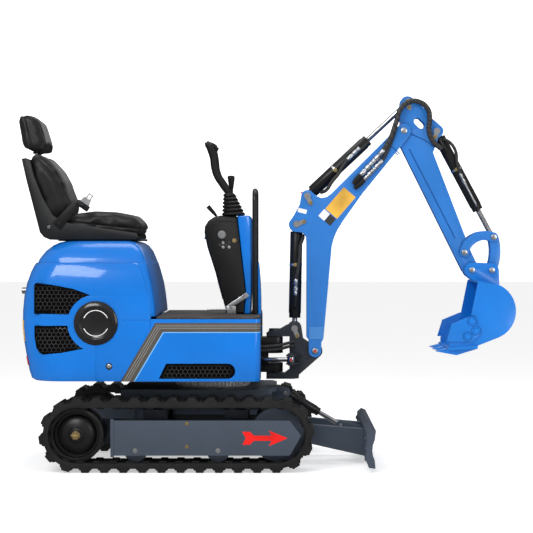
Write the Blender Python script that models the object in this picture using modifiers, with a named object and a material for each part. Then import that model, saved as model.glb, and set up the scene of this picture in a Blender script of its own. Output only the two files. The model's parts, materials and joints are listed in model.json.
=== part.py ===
"""Mini excavator: rubber tracks, slewing upper body with seat and console, swing boom, arm and bucket.

Everything is drawn in the machine's own frame, with X forward, Y to the left, Z up and the slew axis at
X = Y = 0 on the ground. A root empty then shifts it so that the origin is under the middle of its length.
Run with: blender --background --python part.py
"""
import bpy
import bmesh
from math import acos, atan2, cos, degrees, pi, radians, sin
from mathutils import Matrix, Vector

# ---- shared clearances ----
TOUCH = 0.0003            # gap between pieces that rest on each other
RUNNING = 0.0005          # radial clearance of a pin in its bore
SEAM = 0.0006             # gap between neighbouring body panels

# ---- tracks ----
TRACK_OUTER = 0.465       # half width over the tracks
TRACK_WIDTH = 0.180
REAR_WHEEL_X = -0.590
FRONT_WHEEL_X = 0.307
TRACK_RADIUS = 0.165      # over the lugs
LUG_HEIGHT = 0.018
BELT_THICKNESS = 0.024
LUG_COUNT = 32
LUG_BASE = 0.046
LUG_TIP = 0.032
WHEEL_RADIUS = TRACK_RADIUS - LUG_HEIGHT - BELT_THICKNESS - TOUCH
WHEEL_Z = TRACK_RADIUS
SPROCKET_FACE = 0.020     # from the track's outer side in to the wheel's rim
ROLLER_RADIUS = 0.0545
ROLLER_X = (-0.326, 0.042)
COVER_REAR, COVER_FRONT, COVER_TIP = -0.4275, 0.3595, 0.413
COVER_BOTTOM, COVER_TOP = 0.075, 0.231
COVER_INSET = 0.013       # from the track's outer side in to the cover's face
COVER_THICKNESS = 0.022

# ---- centre frame and slew ring ----
FRAME_HALF = 0.265
FRAME_REAR, FRAME_FRONT = -0.410, 0.281
FRAME_TOP = 0.352
FRAME_PLATE = 0.014
SLEW_RADIUS = 0.170
SLEW_TOP = 0.390

# ---- blade ----
BLADE_HALF = 0.464
BLADE_PIVOT = (0.300, 0.160)
BLADE_ARM_Y = (0.125, 0.165)
BLADE_BASE_PIN = (0.341, 0.316)
BLADE_ROD_PIN = (0.602, 0.162)
BLADE_BARREL_RADIUS = 0.022
BLADE_BARREL_LENGTH = 0.185
BLADE_ROD_RADIUS = 0.011

# ---- upper body ----
BODY_HALF = 0.390
WALL = 0.006
BODY_BOTTOM = 0.399
DECK_TOP = 0.679
MAT_THICKNESS = 0.011
SKIRT_FRONT = 0.229
SKIRT_GAP_HALF = 0.160    # half of the opening between the skirts at the front
LIP_Z = 0.931
HOOD_TOP = 1.030
SEAM_X, SEAM_Z = -0.508, 0.674
REAR_CORNER = 0.140
FRONT_CORNER = 0.035
BADGE = (-0.508, 0.661)
BADGE_RADIUS = 0.0987
DOOR_HALF = 0.235
DOOR_BOTTOM, DOOR_TOP = 0.470, 0.890
DOOR_GAP = 0.005
HINGE_X = -0.868
HINGE_RADIUS = 0.008
HINGE_Z = (0.560, 0.760)
PLATFORM_PLATE = 0.022
ENGINE_SIZE = (0.340, 0.420, 0.330)
ENGINE_CENTRE_X = -0.590

# ---- seat ----
SEAT_HALF = 0.220
SEAT_SIDE = 0.014
SEAT_BOTTOM = 1.036
HEADREST_REAR = -0.904

# ---- console ----
CONSOLE_HALF = 0.115
CONSOLE_TOP = 1.150
HOOP_RADIUS = 0.013
HOOP_X, HOOP_TOP, HOOP_HALF = 0.2005, 1.278, 0.120
JOYSTICK_Y = 0.085

# ---- front linkage: pins as (X, Z) ----
KINGPIN_X = 0.290
PIN_FOOT = (0.481, 0.514)
PIN_BOOM_ROD = (0.385, 0.6195)
PIN_BOOM_BARREL = (0.395, 1.110)
PIN_ARM_BARREL = (0.445, 1.242)
PIN_ARM = (0.899, 1.549)
PIN_ARM_ROD = (0.921, 1.687)
PIN_BUCKET_BARREL = (1.055, 1.548)
PIN_ROCKER = (1.1825, 0.977)
PIN_BUCKET = (1.218, 0.894)
PIN_LINK_TOP = (1.321, 1.049)
PIN_LINK_BOTTOM = (1.312, 0.893)
PIN_RADIUS = 0.013
PIN_HEAD = 0.004
EYE_HALF = 0.022          # half width of a cylinder's eye
EAR_INNER = 0.0305        # half gap between the ears that hold it
BOOM_HALF = 0.050
FORK_INNER = 0.041        # half gap of the boom's two forks
ARM_HALF = 0.038
BRACKET_OUTER = 0.038
CYL_BARREL_RADIUS = 0.029
BUCKET_BARREL_RADIUS = 0.0275
ROD_RADIUS = 0.012
BOOM_BARREL_LENGTH = 0.441
ARM_BARREL_LENGTH = 0.391
BUCKET_BARREL_LENGTH = 0.420
EYE_RADIUS = 0.024
SWING_BASE = (-0.100, -0.090)
SWING_EYE = (0.367, -0.090)
SWING_Z = 0.4765
SWING_BARREL_RADIUS = 0.020
SWING_ROD_RADIUS = 0.0105
SWING_POST_WALL = 0.007     # side plates of the front opening, which the swinging barrel passes

# ---- bucket ----
BUCKET_HALF = 0.210
BUCKET_SHEET = 0.008
EAR_Y = (0.0415, 0.0535)
ROCKER_Y = (0.0415, 0.0515)
LINK_Y = (0.0290, 0.0375)
BUCKET_REAR = 1.403

SHIFT_X = -(HEADREST_REAR + BUCKET_REAR) / 2

BLUE = ("gloss_blue", (0.0, 0.20, 0.62, 1), 0.25, 0.0)
BLUE_ARM = ("satin_blue", (0.02, 0.22, 0.60, 1), 0.4, 0.0)
SLATE = ("slate_paint", (0.07, 0.09, 0.13, 1), 0.5, 0.1)
BLACK = ("black_paint", (0.02, 0.02, 0.022, 1), 0.4, 0.1)
RUBBER = ("track_rubber", (0.018, 0.018, 0.018, 1), 0.85, 0.0)
PLASTIC = ("black_plastic", (0.02, 0.02, 0.02, 1), 0.6, 0.0)
VINYL = ("black_vinyl", (0.018, 0.018, 0.02, 1), 0.5, 0.0)
CHROME = ("chrome_rod", (0.8, 0.8, 0.82, 1), 0.15, 1.0)
STEEL = ("steel", (0.45, 0.45, 0.46, 1), 0.4, 1.0)
MAT = ("floor_rubber", (0.05, 0.045, 0.04, 1), 0.9, 0.0)


# ---------------------------------------------------------------- scene helpers
def new_collection(name):
    collection = bpy.data.collections.new(name)
    bpy.context.scene.collection.children.link(collection)
    return collection


def material(spec):
    name, colour, roughness, metallic = spec
    if name in bpy.data.materials:
        return bpy.data.materials[name]
    made = bpy.data.materials.new(name)
    made.use_nodes = True
    shader = made.node_tree.nodes["Principled BSDF"]
    shader.inputs["Base Color"].default_value = colour
    shader.inputs["Roughness"].default_value = roughness
    shader.inputs["Metallic"].default_value = metallic
    return made


def link_mesh(mesh):
    piece = bpy.data.objects.new("piece", mesh)
    PARTS.objects.link(piece)
    return piece


def from_bmesh(bm):
    mesh = bpy.data.meshes.new("piece")
    bm.to_mesh(mesh)
    bm.free()
    return link_mesh(mesh)


def baked(piece):
    """Returns the piece as a plain, welded mesh in world space, with its modifiers applied."""
    bpy.context.view_layer.update()
    evaluated = piece.evaluated_get(bpy.context.evaluated_depsgraph_get())
    mesh = bpy.data.meshes.new_from_object(evaluated)
    mesh.transform(piece.matrix_world)
    bpy.data.objects.remove(piece, do_unlink=True)
    bm = bmesh.new()
    bm.from_mesh(mesh)
    bmesh.ops.remove_doubles(bm, verts=bm.verts, dist=1e-6)
    bmesh.ops.dissolve_limit(bm, angle_limit=radians(0.2), verts=bm.verts, edges=bm.edges)
    bmesh.ops.recalc_face_normals(bm, faces=bm.faces)
    bm.to_mesh(mesh)
    bm.free()
    return link_mesh(mesh)


def combine(target, tool, operation):
    boolean = target.modifiers.new("combine", "BOOLEAN")
    boolean.operation = operation
    boolean.solver = "EXACT"
    boolean.object = tool
    result = baked(target)
    bpy.data.objects.remove(tool, do_unlink=True)
    return result


def union(first, *others):
    for other in others:
        first = combine(first, other, "UNION")
    return first


def cut(first, *tools):
    for tool in tools:
        first = combine(first, tool, "DIFFERENCE")
    return first


def keep(first, tool):
    return combine(first, tool, "INTERSECT")


def copy_of(piece):
    return link_mesh(piece.data.copy())


# ---------------------------------------------------------------- shapes
def box(x0, x1, y0, y1, z0, z1):
    bm = bmesh.new()
    size = Matrix.Diagonal((x1 - x0, y1 - y0, z1 - z0, 1))
    middle = Matrix.Translation(((x0 + x1) / 2, (y0 + y1) / 2, (z0 + z1) / 2))
    bmesh.ops.create_cube(bm, size=1, matrix=middle @ size)
    return from_bmesh(bm)


def rod(start, end, radius, segments=16, end_radius=None):
    start, end = Vector(start), Vector(end)
    along = end - start
    turn = along.to_track_quat("Z", "Y").to_matrix().to_4x4()
    bm = bmesh.new()
    bmesh.ops.create_cone(bm, cap_ends=True, segments=segments, radius1=radius,
                          radius2=radius if end_radius is None else end_radius, depth=along.length,
                          matrix=Matrix.Translation((start + end) / 2) @ turn)
    return from_bmesh(bm)


def cross_rod(pin, y0, y1, radius, segments=16):
    return rod((pin[0], y0, pin[1]), (pin[0], y1, pin[1]), radius, segments)


def outline_curve(loops, half_depth):
    curve = bpy.data.curves.new("outline", "CURVE")
    curve.dimensions = "2D"
    curve.fill_mode = "BOTH"
    curve.extrude = half_depth
    for points in loops:
        spline = curve.splines.new("POLY")
        spline.points.add(len(points) - 1)
        for place, (u, v) in zip(spline.points, points):
            place.co = (u, v, 0, 1)
        spline.use_cyclic_u = True
    made = bpy.data.objects.new("outline", curve)
    PARTS.objects.link(made)
    return made


def plate(points, y0, y1, holes=()):
    """A side outline in (X, Z), as thick as y0 to y1."""
    made = outline_curve([points, *holes], abs(y1 - y0) / 2)
    made.matrix_world = Matrix.Translation((0, (y0 + y1) / 2, 0)) @ Matrix.Rotation(pi / 2, 4, "X")
    return baked(made)


def slab(points, z0, z1):
    """A plan outline in (X, Y), as thick as z0 to z1."""
    made = outline_curve([points], (z1 - z0) / 2)
    made.matrix_world = Matrix.Translation((0, 0, (z0 + z1) / 2))
    return baked(made)


def arc(centre, radius, start, end, steps=8):
    """Points on an arc, from one angle to another in degrees."""
    angles = [radians(start + (end - start) * i / steps) for i in range(steps + 1)]
    return [(centre[0] + radius * cos(a), centre[1] + radius * sin(a)) for a in angles]


def hull(circles, steps=14):
    """The outline of a belt drawn tight round circles of (x, z, radius)."""
    cloud = sorted({(round(x, 7), round(z, 7)) for cx, cz, r in circles
                    for x, z in arc((cx, cz), r, 0, 360, steps)})

    def half(points):
        chain = []
        for p in points:
            while len(chain) > 1:
                (ax, az), (bx, bz) = chain[-2], chain[-1]
                if (bx - ax) * (p[1] - az) - (bz - az) * (p[0] - ax) > 1e-10:
                    break
                chain.pop()
            chain.append(p)
        return chain[:-1]
    return half(cloud) + half(cloud[::-1])


def turned(profile, centre, side=1, segments=24):
    """Turns (radius, Y) points about the Y axis through centre; side -1 mirrors them to the right."""
    mesh = bpy.data.meshes.new("profile")
    bm = bmesh.new()
    corners = [bm.verts.new((r, 0, y * side)) for r, y in profile]
    for a, b in zip(corners, corners[1:]):
        bm.edges.new((a, b))
    bm.to_mesh(mesh)
    bm.free()
    made = link_mesh(mesh)
    screw = made.modifiers.new("turn", "SCREW")
    screw.axis = "Z"
    screw.steps = screw.render_steps = segments
    screw.use_merge_vertices = True
    screw.merge_threshold = 1e-5
    made.matrix_world = (Matrix.Translation((centre[0], 0, centre[1])) @ Matrix.Rotation(-pi / 2, 4, "X"))
    return baked(made)


def finish(piece, name, spec, smooth=35):
    piece.name = piece.data.name = name
    piece.data.materials.clear()
    piece.data.materials.append(material(spec))
    piece.data.shade_smooth()
    piece.data.set_sharp_from_angle(angle=radians(smooth))
    return piece


def span(y0, y1, side):
    return (y0, y1) if side > 0 else (-y1, -y0)


# ---------------------------------------------------------------- undercarriage
def belt_point(s, offset):
    """A point at distance s round the belt's outer line, lifted off it by offset."""
    radius = TRACK_RADIUS - LUG_HEIGHT
    straight = FRONT_WHEEL_X - REAR_WHEEL_X
    turn = pi * radius
    s %= 2 * (straight + turn)
    out = radius + offset
    if s < straight:
        return REAR_WHEEL_X + s, WHEEL_Z - out
    if s < straight + turn:
        a = -pi / 2 + (s - straight) / radius
        return FRONT_WHEEL_X + out * cos(a), WHEEL_Z + out * sin(a)
    if s < 2 * straight + turn:
        return FRONT_WHEEL_X - (s - straight - turn), WHEEL_Z + out
    a = pi / 2 + (s - 2 * straight - turn) / radius
    return REAR_WHEEL_X + out * cos(a), WHEEL_Z + out * sin(a)


def rubber_track(side):
    length = 2 * (FRONT_WHEEL_X - REAR_WHEEL_X) + 2 * pi * (TRACK_RADIUS - LUG_HEIGHT)
    pitch = length / LUG_COUNT
    outer = []
    for i in range(LUG_COUNT):
        s = (i + 0.5) * pitch
        outer += [belt_point(s - LUG_BASE / 2, 0), belt_point(s - LUG_TIP / 2, LUG_HEIGHT),
                  belt_point(s + LUG_TIP / 2, LUG_HEIGHT), belt_point(s + LUG_BASE / 2, 0)]
    inner_radius = WHEEL_RADIUS + TOUCH
    inner = (arc((FRONT_WHEEL_X, WHEEL_Z), inner_radius, -90, 90, 20)
             + arc((REAR_WHEEL_X, WHEEL_Z), inner_radius, 90, 270, 20))
    return plate(outer, *span(TRACK_OUTER - TRACK_WIDTH, TRACK_OUTER, side), holes=[inner])


def sprocket(side):
    face = TRACK_OUTER - SPROCKET_FACE
    rim = WHEEL_RADIUS - TOUCH
    profile = [(0, face + 0.006), (0.018, face + 0.006), (0.020, face - 0.004), (0.032, face - 0.006),
               (0.036, face - 0.014), (0.062, face - 0.018), (0.084, face - 0.034), (0.088, face - 0.046),
               (0.100, face - 0.046), (0.104, face - 0.006), (rim, face - 0.006), (rim, face - 0.110),
               (0.045, face - 0.110), (0.045, face - 0.139), (0, face - 0.139)]
    return turned(profile, (REAR_WHEEL_X, WHEEL_Z), side, 28)


def track_frame(side):
    face = TRACK_OUTER - COVER_INSET
    inner = face - COVER_THICKNESS
    mid_z = WHEEL_Z - 0.001
    cover = [(COVER_REAR, COVER_BOTTOM), (COVER_FRONT, COVER_BOTTOM), (COVER_FRONT + 0.004, COVER_BOTTOM + 0.004),
             (COVER_TIP, mid_z), (COVER_FRONT + 0.004, COVER_TOP - 0.004), (COVER_FRONT, COVER_TOP),
             (COVER_REAR, COVER_TOP)]
    skin = plate(cover, *span(inner, face, side))
    flange = box(COVER_REAR - 0.008, COVER_REAR + 0.006, *span(inner, face + 0.004, side),
                 COVER_BOTTOM - 0.006, COVER_TOP + 0.006)
    beam = box(-0.400, 0.250, *span(0.312, inner + 0.002, side), 0.158, COVER_TOP - 0.006)
    fin = box(-0.400, 0.250, *span(0.372, 0.384, side), 0.095, 0.160)
    hanger = box(-0.612, -0.398, *span(0.290, 0.303, side), 0.110, COVER_TOP - 0.008)
    hanger_web = box(-0.440, -0.398, *span(0.2905, 0.430, side), 0.155, COVER_TOP - 0.010)
    yoke = box(0.248, 0.318, *span(0.318, 0.330, side), 0.130, 0.200)
    yoke_root = box(0.238, 0.252, *span(0.318, inner + 0.002, side), 0.160, 0.205)
    idler = turned([(0, 0.340), (0.030, 0.340), (0.034, 0.346), (WHEEL_RADIUS - 2 * TOUCH, 0.346),
                    (WHEEL_RADIUS - 2 * TOUCH, 0.408), (0.034, 0.408), (0.030, 0.414), (0, 0.414)],
                   (FRONT_WHEEL_X, WHEEL_Z), side, 24)
    axle = rod((FRONT_WHEEL_X, 0.3185 * side, WHEEL_Z), (FRONT_WHEEL_X, (inner + 0.003) * side, WHEEL_Z), 0.016)
    frame = union(beam, skin, flange, fin, hanger, hanger_web, yoke_root, yoke, axle, idler)
    for x in ROLLER_X:
        z = WHEEL_Z - WHEEL_RADIUS - TOUCH + ROLLER_RADIUS + TOUCH
        wheel = turned([(0, 0.335), (ROLLER_RADIUS, 0.335), (ROLLER_RADIUS, 0.422), (0, 0.422)], (x, z), side, 18)
        frame = union(frame, wheel, rod((x, 0.420 * side, z), (x, (inner + 0.002) * side, z), 0.014))
    return frame


def centre_frame():
    top = slab([(FRAME_REAR, -FRAME_HALF), (FRAME_FRONT, -FRAME_HALF), (FRAME_FRONT + 0.020, -0.2),
                (FRAME_FRONT + 0.020, 0.2), (FRAME_FRONT, FRAME_HALF), (FRAME_REAR, FRAME_HALF)],
               FRAME_TOP - FRAME_PLATE, FRAME_TOP)
    pieces = []
    for side in (1, -1):
        pieces.append(box(FRAME_REAR, FRAME_FRONT, *span(FRAME_HALF - 0.012, FRAME_HALF, side),
                          0.262, FRAME_TOP - 0.004))
        for x in (-0.250, 0.120):
            leg = [(x - 0.055, 0.265), (x - 0.045, 0.172), (x + 0.045, 0.172), (x + 0.055, 0.265)]
            pieces.append(plate(leg, *span(0.150, 0.3117, side)))
            pieces.append(box(x - 0.030, x + 0.030, *span(0.150, 0.200, side), 0.255, FRAME_TOP - 0.005))
        lug = hull([(*BLADE_PIVOT, 0.034), (0.245, 0.200, 0.040), (0.245, 0.330, 0.015)], 16)
        pieces.append(plate(lug, *span(0.090, BLADE_ARM_Y[0] - 0.004, side)))
        pieces.append(cross_rod(BLADE_PIVOT, *span(0.092, BLADE_ARM_Y[1] + 0.006, side), PIN_RADIUS))
        ear = hull([(*BLADE_BASE_PIN, 0.024), (0.270, 0.300, 0.020), (0.270, 0.335, 0.010)], 16)
        pieces.append(plate(ear, *span(0.0205, 0.032, side)))
    pieces.append(cross_rod(BLADE_BASE_PIN, -0.036, 0.036, 0.009))
    belly = box(-0.300, 0.235, -0.195, 0.195, 0.175, 0.190)
    spine = box(-0.302, -0.290, -0.195, 0.195, 0.180, FRAME_TOP - 0.006)
    front = box(0.226, 0.238, -0.210, 0.210, 0.180, FRAME_TOP - 0.006)
    return union(top, belly, spine, front, *pieces)


def slew_ring():
    ring = rod((0, 0, FRAME_TOP + TOUCH), (0, 0, SLEW_TOP), SLEW_RADIUS, 48)
    return cut(ring, rod((0, 0, FRAME_TOP - 0.1), (0, 0, SLEW_TOP + 0.1), SLEW_RADIUS - 0.045, 32))


def dozer_blade():
    front = [(0.742, 0.018)] + arc((0.826, 0.1005), 0.0985, 221, 139, 6)[1:-1] + [(0.744, 0.186)]
    back = [(0.722, 0.196), (0.702, 0.178), (0.700, 0.055), (0.712, 0.022)]
    mould = plate(front + back, -BLADE_HALF, BLADE_HALF)
    arm = [(0.268, 0.142), (0.282, 0.128), (0.318, 0.124), (0.710, 0.036), (0.710, 0.160), (0.320, 0.194),
           (0.285, 0.192), (0.268, 0.178)]
    bore = PIN_RADIUS + RUNNING
    pieces = [mould]
    for side in (1, -1):
        y0, y1 = span(*BLADE_ARM_Y, side)
        beam = cut(plate(arm, y0, y1), cross_rod(BLADE_PIVOT, y0 - 0.01, y1 + 0.01, bore, 24))
        ear = hull([(*BLADE_ROD_PIN, 0.022), (0.640, 0.110, 0.015), (0.690, 0.110, 0.015), (0.690, 0.150, 0.010)], 16)
        pieces += [beam, plate(ear, *span(0.020, 0.032, side)),
                   cross_rod(BLADE_ROD_PIN, *span(0.031, 0.038, side), 0.012)]
    pieces.append(box(0.655, 0.705, -BLADE_ARM_Y[0] - 0.004, BLADE_ARM_Y[0] + 0.004, 0.060, 0.140))
    return union(*pieces)


# ---------------------------------------------------------------- hydraulic cylinders
def cylinder_pair(base, eye, barrel_length, barrel_radius, rod_radius, reach, eye_half, eye_radius, pin_radius):
    """Barrel and rod of a cylinder in the side plane.

    reach is how far the rod's inner end is from the base pin, at rest and at its shortest.
    """
    reach, shortest = reach
    base3, eye3 = Vector((base[0], 0, base[1])), Vector((eye[0], 0, eye[1]))
    along = (eye3 - base3).normalized()
    barrel = rod(base3 + along * (eye_radius + 0.010), base3 + along * (barrel_length - 0.022), barrel_radius, 24)
    gland = rod(base3 + along * (barrel_length - 0.024), base3 + along * barrel_length, barrel_radius - 0.002, 24)
    neck = rod(base3, base3 + along * (eye_radius + 0.014), eye_radius * 0.8, 16)
    barrel = union(barrel, gland, neck, cross_rod(base, -eye_half, eye_half, eye_radius, 18))
    barrel = cut(barrel, rod(base3 + along * (shortest - 0.004), base3 + along * (barrel_length + 0.05),
                             rod_radius + RUNNING, 18),
                 cross_rod(base, -eye_half - 0.01, eye_half + 0.01, pin_radius + RUNNING, 18))
    stem = rod(base3 + along * reach, eye3, rod_radius, 20)
    return barrel, union(stem, cross_rod(eye, -eye_half, eye_half, eye_radius, 18))


# ---------------------------------------------------------------- upper structure
REAR_PROFILE = [(0.360, -0.790), (0.3995, -0.802), (0.408, -0.816), (0.440, -0.826), (0.500, -0.838), (0.570, -0.850),
                (0.643, -0.857), (0.715, -0.856), (0.780, -0.850), (0.840, -0.838), (0.890, -0.822),
                (0.920, -0.808), (LIP_Z, -0.800)]
PLINTH_PROFILE = [(LIP_Z + 0.0005, -0.792, 0.347), (0.950, -0.784, 0.342), (0.985, -0.758, 0.326), (1.010, -0.728, 0.306),
                  (1.024, -0.700, 0.286), (HOOD_TOP, -0.672, 0.262)]


def front_face_x(z):
    """The hood's sloping front, from the deck up to the rounding under the top."""
    points = [(BODY_BOTTOM, -0.236), (0.684, -0.239), (0.770, -0.249), (0.850, -0.262), (0.920, -0.282),
              (0.980, -0.3035), (1.010, -0.325), (1.024, -0.345), (HOOD_TOP, -0.370)]
    for (z0, x0), (z1, x1) in zip(points, points[1:]):
        if z <= z1:
            return x0 + (x1 - x0) * (z - z0) / (z1 - z0)
    return points[-1][1]


def body_half(z):
    """Half width of the hood's sides, drawn in a little at the bottom and towards the lip."""
    low = max(0.0, (0.430 - max(z, BODY_BOTTOM)) / 0.031)
    high = max(0.0, (z - 0.780) / 0.151)
    return BODY_HALF - 0.008 * low ** 2 - 0.030 * high ** 2


def hood_ring(rear, front, half, corner):
    front_r = min(FRONT_CORNER, half)
    return (arc((front - front_r, half - front_r), front_r, 0, 90, 3)
            + arc((rear + corner, half - corner), corner, 90, 180, 6)
            + arc((rear + corner, corner - half), corner, 180, 270, 6)
            + arc((front - front_r, front_r - half), front_r, 270, 360, 3))


def loft(levels, close_bottom):
    """Skins rings of (z, points) one above another, with a flat top."""
    bm = bmesh.new()
    rings = [[bm.verts.new((x, y, z)) for x, y in points] for z, points in levels]
    for low, high in zip(rings, rings[1:]):
        for i in range(len(low)):
            j = (i + 1) % len(low)
            bm.faces.new((low[i], low[j], high[j], high[i]))
    bm.faces.new(rings[-1])
    if close_bottom:
        bm.faces.new(rings[0][::-1])
    return from_bmesh(bm)


def hood_master():
    """The whole hood as one thin shell, open below, which the panels are cut from."""
    levels = [(z, hood_ring(x, front_face_x(z), body_half(z), REAR_CORNER)) for z, x in REAR_PROFILE]
    levels += [(z, hood_ring(x, front_face_x(z), half, REAR_CORNER - 0.02)) for z, x, half in PLINTH_PROFILE]
    shell = loft(levels, close_bottom=False)
    solid = shell.modifiers.new("wall", "SOLIDIFY")
    solid.thickness = WALL
    solid.offset = -1
    solid.use_even_offset = True
    return baked(shell)


def lip_line():
    """Side view of the edge between hood and plinth: along the lip, then down the front edge."""
    return [(-0.345, LIP_Z), (-0.325, 0.922), (-0.308, 0.900), (-0.293, 0.860), (-0.277, 0.790), (-0.268, 0.730),
            (-0.262, SEAM_Z)]


def cover_line():
    """Side view of the hood's front lower edge, from the deck down to the stripe's foot."""
    return [(-0.262, SEAM_Z), (-0.263, 0.655), (-0.272, 0.625), (-0.300, 0.570), (-0.345, 0.490), (-0.396, 0.399)]


def offset_x(points, by):
    return [(x + by, z) for x, z in points]


def door_box(grow):
    return box(-1.0, -0.75, -DOOR_HALF - grow, DOOR_HALF + grow, DOOR_BOTTOM - grow, DOOR_TOP + grow)


GRILLE_ARC_RADIUS = 0.128


def angle_on_badge(point):
    return degrees(atan2(point[1] - BADGE[1], point[0] - BADGE[0]))


def shrunk(points, factor):
    mx = sum(x for x, z in points) / len(points)
    mz = sum(z for x, z in points) / len(points)
    return [(mx + (x - mx) * factor, mz + (z - mz) * factor) for x, z in points]


def grille_outlines():
    """The two side grilles' outlines, with the edge towards the badge concentric with it."""
    tip_low = angle_on_badge((-0.632, 0.700))
    upper = ([(-0.787, 0.703), (-0.787, 0.833), (-0.779, 0.841), (-0.700, 0.832), (-0.610, 0.815)]
             + arc(BADGE, GRILLE_ARC_RADIUS, 101, tip_low, 6))
    lower = ([(-0.785, 0.649)] + arc(BADGE, GRILLE_ARC_RADIUS, 185, 244, 6)
             + [(-0.665, 0.527), (-0.745, 0.5195), (-0.762, 0.527), (-0.776, 0.550), (-0.785, 0.600)])
    return upper, lower


def engine_hood(master):
    region = [(-1.0, BODY_BOTTOM), (SEAM_X - SEAM / 2, BODY_BOTTOM), (SEAM_X - SEAM / 2, SEAM_Z + SEAM / 2)]
    edge = offset_x(lip_line(), -SEAM / 2)
    region += [(edge[-1][0], SEAM_Z + SEAM / 2)] + edge[::-1][1:-1] + [(edge[0][0], LIP_Z - 0.0002), (-1.0, LIP_Z - 0.0002)]
    hood = keep(copy_of(master), plate(region, -0.5, 0.5))
    hood = cut(hood, door_box(DOOR_GAP))
    for outline in grille_outlines():
        hood = cut(hood, plate(outline, -0.5, -0.3), plate(outline, 0.3, 0.5))
    badge_hole = BADGE_RADIUS - 0.012
    hood = cut(hood, cross_rod(BADGE, -0.5, -0.3, badge_hole, 32), cross_rod(BADGE, 0.3, 0.5, badge_hole, 32))
    for z in HINGE_Z:
        y0 = DOOR_HALF + DOOR_GAP + 0.002
        hood = union(hood, box(HINGE_X - 0.002, -0.835, y0 + 0.010, y0 + 0.026, z - 0.035, z - TOUCH),
                     rod((HINGE_X, y0 + 0.004, z - 0.035), (HINGE_X, y0 + 0.004, z - TOUCH), HINGE_RADIUS, 16),
                     box(HINGE_X - 0.003, HINGE_X + 0.003, y0 + 0.004, y0 + 0.012, z - 0.035, z - TOUCH),
                     rod((HINGE_X, y0 + 0.004, z - 0.030), (HINGE_X, y0 + 0.004, z + 0.032), 0.004, 16))
    return hood


def rear_door(master):
    door = keep(copy_of(master), door_box(0))
    y0 = DOOR_HALF + DOOR_GAP + 0.002
    for z in HINGE_Z:
        knuckle = rod((HINGE_X, y0 + 0.004, z), (HINGE_X, y0 + 0.004, z + 0.035), HINGE_RADIUS, 16)
        leaf = box(HINGE_X - 0.003, HINGE_X + 0.003, DOOR_HALF - 0.030, y0 + 0.002, z, z + 0.035)
        foot = box(HINGE_X - 0.003, -0.846, DOOR_HALF - 0.030, DOOR_HALF - 0.012, z, z + 0.035)
        knuckle = cut(union(knuckle, leaf, foot),
                      rod((HINGE_X, y0 + 0.004, z - 0.05), (HINGE_X, y0 + 0.004, z + 0.05), 0.004 + RUNNING, 20))
        door = union(door, knuckle)
    latch = rod((-0.845, -DOOR_HALF + 0.040, 0.802), (-0.866, -DOOR_HALF + 0.040, 0.802), 0.014, 20)
    return union(door, latch)


def side_cover(master, side):
    edge = offset_x(cover_line(), -SEAM / 2)
    region = ([(SEAM_X + SEAM / 2, BODY_BOTTOM)] + edge[::-1][:-1]
              + [(edge[0][0], SEAM_Z - SEAM / 2), (SEAM_X + SEAM / 2, SEAM_Z - SEAM / 2)])
    cover = keep(copy_of(master), plate(region, *span(0.2, 0.5, side)))
    badge_hole = BADGE_RADIUS - 0.012
    return cut(cover, cross_rod(BADGE, *span(0.3, 0.5, side), badge_hole, 32))


def seat_plinth(master):
    edge = offset_x(lip_line(), SEAM / 2)
    top = [(-1.0, LIP_Z + 0.0002), (edge[0][0], LIP_Z + 0.0002)] + edge[1:-1] + [
        (edge[-1][0], DECK_TOP + MAT_THICKNESS + TOUCH), (0, DECK_TOP + MAT_THICKNESS + TOUCH), (0, 1.2), (-1.0, 1.2)]
    plinth = keep(copy_of(master), plate(top, -0.5, 0.5))
    shelf = hood_ring(-0.787, front_face_x(0.94) - 0.003, 0.3420, REAR_CORNER - 0.02)
    shelf_ring = slab(shelf, 0.9345, 0.940)
    opening = box(-0.700, -0.340, -0.26, 0.26, 0.92, 0.95)
    return union(plinth, cut(shelf_ring, opening))


def side_grille(side):
    """Both grilles and the badge of one side, carried by a backing sheet inside the hood."""
    skin = BODY_HALF - WALL
    y_back = (skin - 0.012, skin - 0.0066)
    backing = [(-0.700, 0.560), (-0.560, 0.560), (-0.420, 0.600), (-0.420, 0.740), (-0.560, 0.800), (-0.700, 0.820)]
    base = plate(backing, *span(*y_back, side))
    front = skin + 0.002
    pieces = [plate(shrunk(outline, 0.990), *span(skin - 0.030, front, side)) for outline in grille_outlines()]
    badge = turned([(0, 0.396), (0.068, 0.396), (0.070, 0.402), (BADGE_RADIUS, 0.3935), (BADGE_RADIUS, 0.3904),
                    (BADGE_RADIUS - 0.0125, 0.3904), (BADGE_RADIUS - 0.0125, y_back[0] + 0.001), (0, y_back[0] + 0.001)],
                   BADGE, side, 32)
    return union(base, *pieces, badge)


def skirt(side):
    """Side skirt of the front deck, from the stripe's foot round the front corner."""
    half, front, corner = BODY_HALF, SKIRT_FRONT, 0.035
    outer = ([(-0.40, half), (-0.40, half - WALL)]
             + arc((front - corner, half - corner), corner - WALL, 90, 0, 5)
             + [(front - WALL, SKIRT_GAP_HALF), (front, SKIRT_GAP_HALF)]
             + arc((front - corner, half - corner), corner, 0, 90, 6))
    plan = [(x, y * side) for x, y in outer]
    wall = slab(plan, BODY_BOTTOM, DECK_TOP)
    edge = offset_x(cover_line(), SEAM / 2)
    behind = [(-0.5, 0.3), (edge[-1][0], 0.300)] + edge[::-1] + [(edge[0][0], 0.8), (-0.5, 0.8)]
    wall = cut(wall, plate(behind, -0.5, 0.5))
    wall = cut(wall, plate([(0.205, 0.380), (0.260, 0.380), (0.260, 0.425)], -0.5, 0.5))
    return cut(wall, plate(vent_outline(0), *span(0.3, 0.5, side)))


def vent_outline(grow):
    low, high = 0.4115 - grow, 0.4795 + grow
    middle, radius = (low + high) / 2, (high - low) / 2
    rounded = arc((0.117 - 0.034, middle), radius, -90, 90, 10)
    return [(-0.226 - grow, low), *rounded, (-0.193 - grow * 0.5, high)]


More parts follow.
